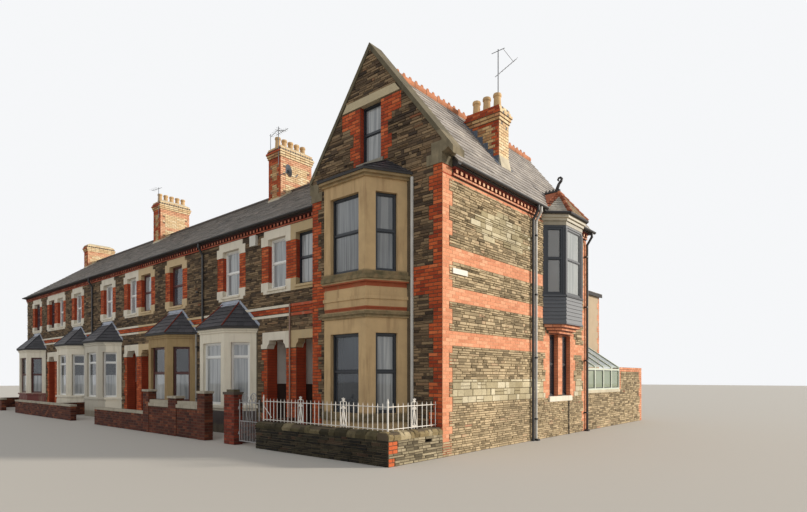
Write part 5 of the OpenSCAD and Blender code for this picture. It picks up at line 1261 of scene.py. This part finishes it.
# Glazing beads
def panes():
    """Centre, half width, half height, direction, normal and half thickness of every upright pane."""
    me = NODES["window_glass"].data
    near = {i: i for i in range(len(me.vertices))}
    def root(i):
        while near[i] != i:
            near[i] = near[near[i]]
            i = near[i]
        return i
    at = {}
    for v in me.vertices:
        k = tuple(round(c, 4) for c in v.co)
        if k in at:
            near[root(v.index)] = root(at[k])
        at[k] = v.index
    for e in me.edges:
        near[root(e.vertices[0])] = root(e.vertices[1])
    shells = {}
    for f in me.polygons:
        shells.setdefault(root(f.vertices[0]), []).append(f)
    out = []
    for faces in shells.values():
        area = {}
        for f in faces:
            k = tuple(round(abs(c), 2) for c in f.normal)
            area.setdefault(k, [0, f.normal])[0] += f.area
        n = max(area.values(), key=lambda q: q[0])[1].copy()
        if abs(n.z) > 0.2:
            continue
        pts = [me.vertices[i].co for f in faces for i in f.vertices]
        u = Vector((-n.y, n.x, 0)).normalized()
        spans = [p.dot(u) for p in pts], [p.z for p in pts], [p.dot(n) for p in pts]
        (a, b), (c, d), (e, f) = ((min(q), max(q)) for q in spans)
        centre = u * (a + b) / 2 + n * (e + f) / 2 + Vector((0, 0, (c + d) / 2))
        out.append((centre, (b - a) / 2, (d - c) / 2, u, n, (f - e) / 2))
    return out
beads = {"dark": Blocks("dark_glazing_beads", "dark_frame", "dark_plastic"),
         "white": Blocks("white_glazing_beads", "white_frame", "white_plastic"),
         "red": Blocks("red_glazing_beads", "red_frame", "red_paint")}
frames = {k: np.array([tuple(v.co) for v in NODES[k + "_window_frames"].data.vertices]) for k in beads}
k = 0.024  # width of a bead
for c, w, h, u, n, t in panes():
    kind = min(beads, key=lambda b: np.abs(frames[b] - np.array(tuple(c))).sum(1).min())
    for sgn in (-1, 1):
        s = Sheet(c + n * sgn * t, u * sgn)
        for a, b, p, q in ((-w, w, -h, -h + k), (-w, w, h - k, h), (-w, -w + k, -h, h), (w - k, w, -h, h)):
            beads[kind].rect(s, a, b, p, q, 0.010, 0.004, 0.5, back=-0.001)
done(*beads.values())

# Back of the row
yr = Blocks("yard_wall_rubble", "rubble_sunlit", "rubble")
yb = Blocks("yard_wall_bricks", "brick_sunlit", "brick")
yc = Blocks("yard_wall_coping", "pale_mortar", "coping_stone")
an = Blocks("annexe_slates", "slate", "slate")
aq = Blocks("annexe_corner_bricks", "brick_sunlit", "brick")
YC, YE = DEPTH + 2.89, DEPTH + 5.25  # ends of the conservatory and of the yard wall
YARD, YARD_TOP = 1.80, 1.95  # rubble, and the brick course on it
band = [(YC, YE, YARD, YARD_TOP), *teeth(YE, -1, 0.22, 0.33, 0.0, YARD), (YC, YC + 0.11, 1.2, YARD)]
bricks(yb, flank, band, [], 0.0, YARD_TOP)
rubble(yr, flank, DEPTH, YC, 0.0, 1.12, [], course=0.058, red=0.12)
rubble(yr, flank, YC, YE, 0.0, YARD, band, course=0.058, red=0.12)
box(yc, (-0.34, DEPTH + 0.01, 1.12), (0.028, YC, 1.207))
back = Sheet((0, YE, 0), (-1, 0, 0))
rubble(yr, back, 0.0, 1.6, 0.0, YARD, [], red=0.1)
bricks(yb, back, [(-E, 1.6, YARD, YARD_TOP)], [], YARD, YARD_TOP)
done(yr, yb, yc)
LONG = 5.33  # length of an annexe's eaves
for p in ANNEXES:
    l, r = line(p) - 3.2, (line(p) + 3.2 if p > 1 else -1.5)
    half = (r - l) / 2 / math.cos(PA)
    z = ANNEXE_TOP - 0.1 * math.tan(PA) + 0.12
    for s in (slope(r, DEPTH, z, (0, 1, 0), PA), slope(l, DEPTH + LONG, z, (0, -1, 0), PA)):
        slates(an, s, half, lambda v: (0.0, LONG))
an.done()
bricks(aq, Sheet((-1.6, DEPTH, 0), (0, 1, 0)), teeth(5.25 + E, -1, 0.11, 0.22, 0.0, 4.72, 0, 0.225), [],
       0.0, 4.72)
aq.done()

# Camera, light, stage
WIDTH, HEIGHT, FOCAL, HORIZON = 807, 512, 539.73, 377.44  # of the photo, in pixels
scene = bpy.context.scene
cam_data = bpy.data.cameras.new("camera")
cam = bpy.data.objects.new("camera", cam_data)
scene.collection.objects.link(cam)
cam.location = (6.447, -8.682, 1.60)
cam.rotation_euler = (math.radians(90), 0, math.radians(40.707))
cam_data.sensor_width = 36
cam_data.lens = FOCAL / WIDTH * 36
cam_data.shift_y = (HORIZON - HEIGHT / 2) / WIDTH
cam_data.clip_end = 300
scene.camera = cam

def sun(name, direction, strength, angle, color):
    d = bpy.data.lights.new(name, "SUN")
    d.energy = strength
    d.angle = math.radians(angle)
    d.color = color
    o = bpy.data.objects.new(name, d)
    o.rotation_euler = Vector(direction).to_track_quat("-Z", "Y").to_euler()
    scene.collection.objects.link(o)
sun("key", (-0.711, -0.640, -0.292), 3.8, 6, (1.0, 0.93, 0.83))
sun("fill", (-0.32, 0.88, -0.34), 0.55, 60, (0.94, 0.97, 1.0))

world = scene.world = bpy.data.worlds.new("world")
world.use_nodes = True
t = world.node_tree
bg = t.nodes["Background"]
bg.inputs[0].default_value = (0.84, 0.87, 0.91, 1)
bg.inputs[1].default_value = 0.55
white = t.nodes.new("ShaderNodeBackground")
white.inputs[0].default_value = (0.92, 0.93, 0.945, 1)
white.inputs[1].default_value = 1.0
rays = t.nodes.new("ShaderNodeLightPath")
seen = rays.outputs["Is Camera Ray"]
for way in ("Is Glossy Ray", "Is Transmission Ray"):
    most = t.nodes.new("ShaderNodeMath")
    most.operation = "MAXIMUM"
    t.links.new(seen, most.inputs[0])
    t.links.new(rays.outputs[way], most.inputs[1])
    seen = most.outputs[0]
shown = t.nodes.new("ShaderNodeMixShader")
for i, socket in enumerate((seen, bg.outputs[0], white.outputs[0])):
    t.links.new(socket, shown.inputs[i])
t.links.new(shown.outputs[0], t.nodes["World Output"].inputs[0])

FLOOR, LOW = 120, -0.002  # half width and height of the stage
me = bpy.data.meshes.new("floor")
me.from_pydata([(x * FLOOR, y * FLOOR, LOW) for x, y in ((-1, -1), (1, -1), (1, 1), (-1, 1))], [],
               [(0, 1, 2, 3)])
floor = bpy.data.objects.new("floor", me)
scene.collection.objects.link(floor)
stage = Shade("floor", 0.9)
stage.set(stage.b.inputs["Base Color"], lin(196, 190, 180))
me.materials.append(stage.m)

scene.view_settings.view_transform = "Standard"
bpy.context.view_layer.update()
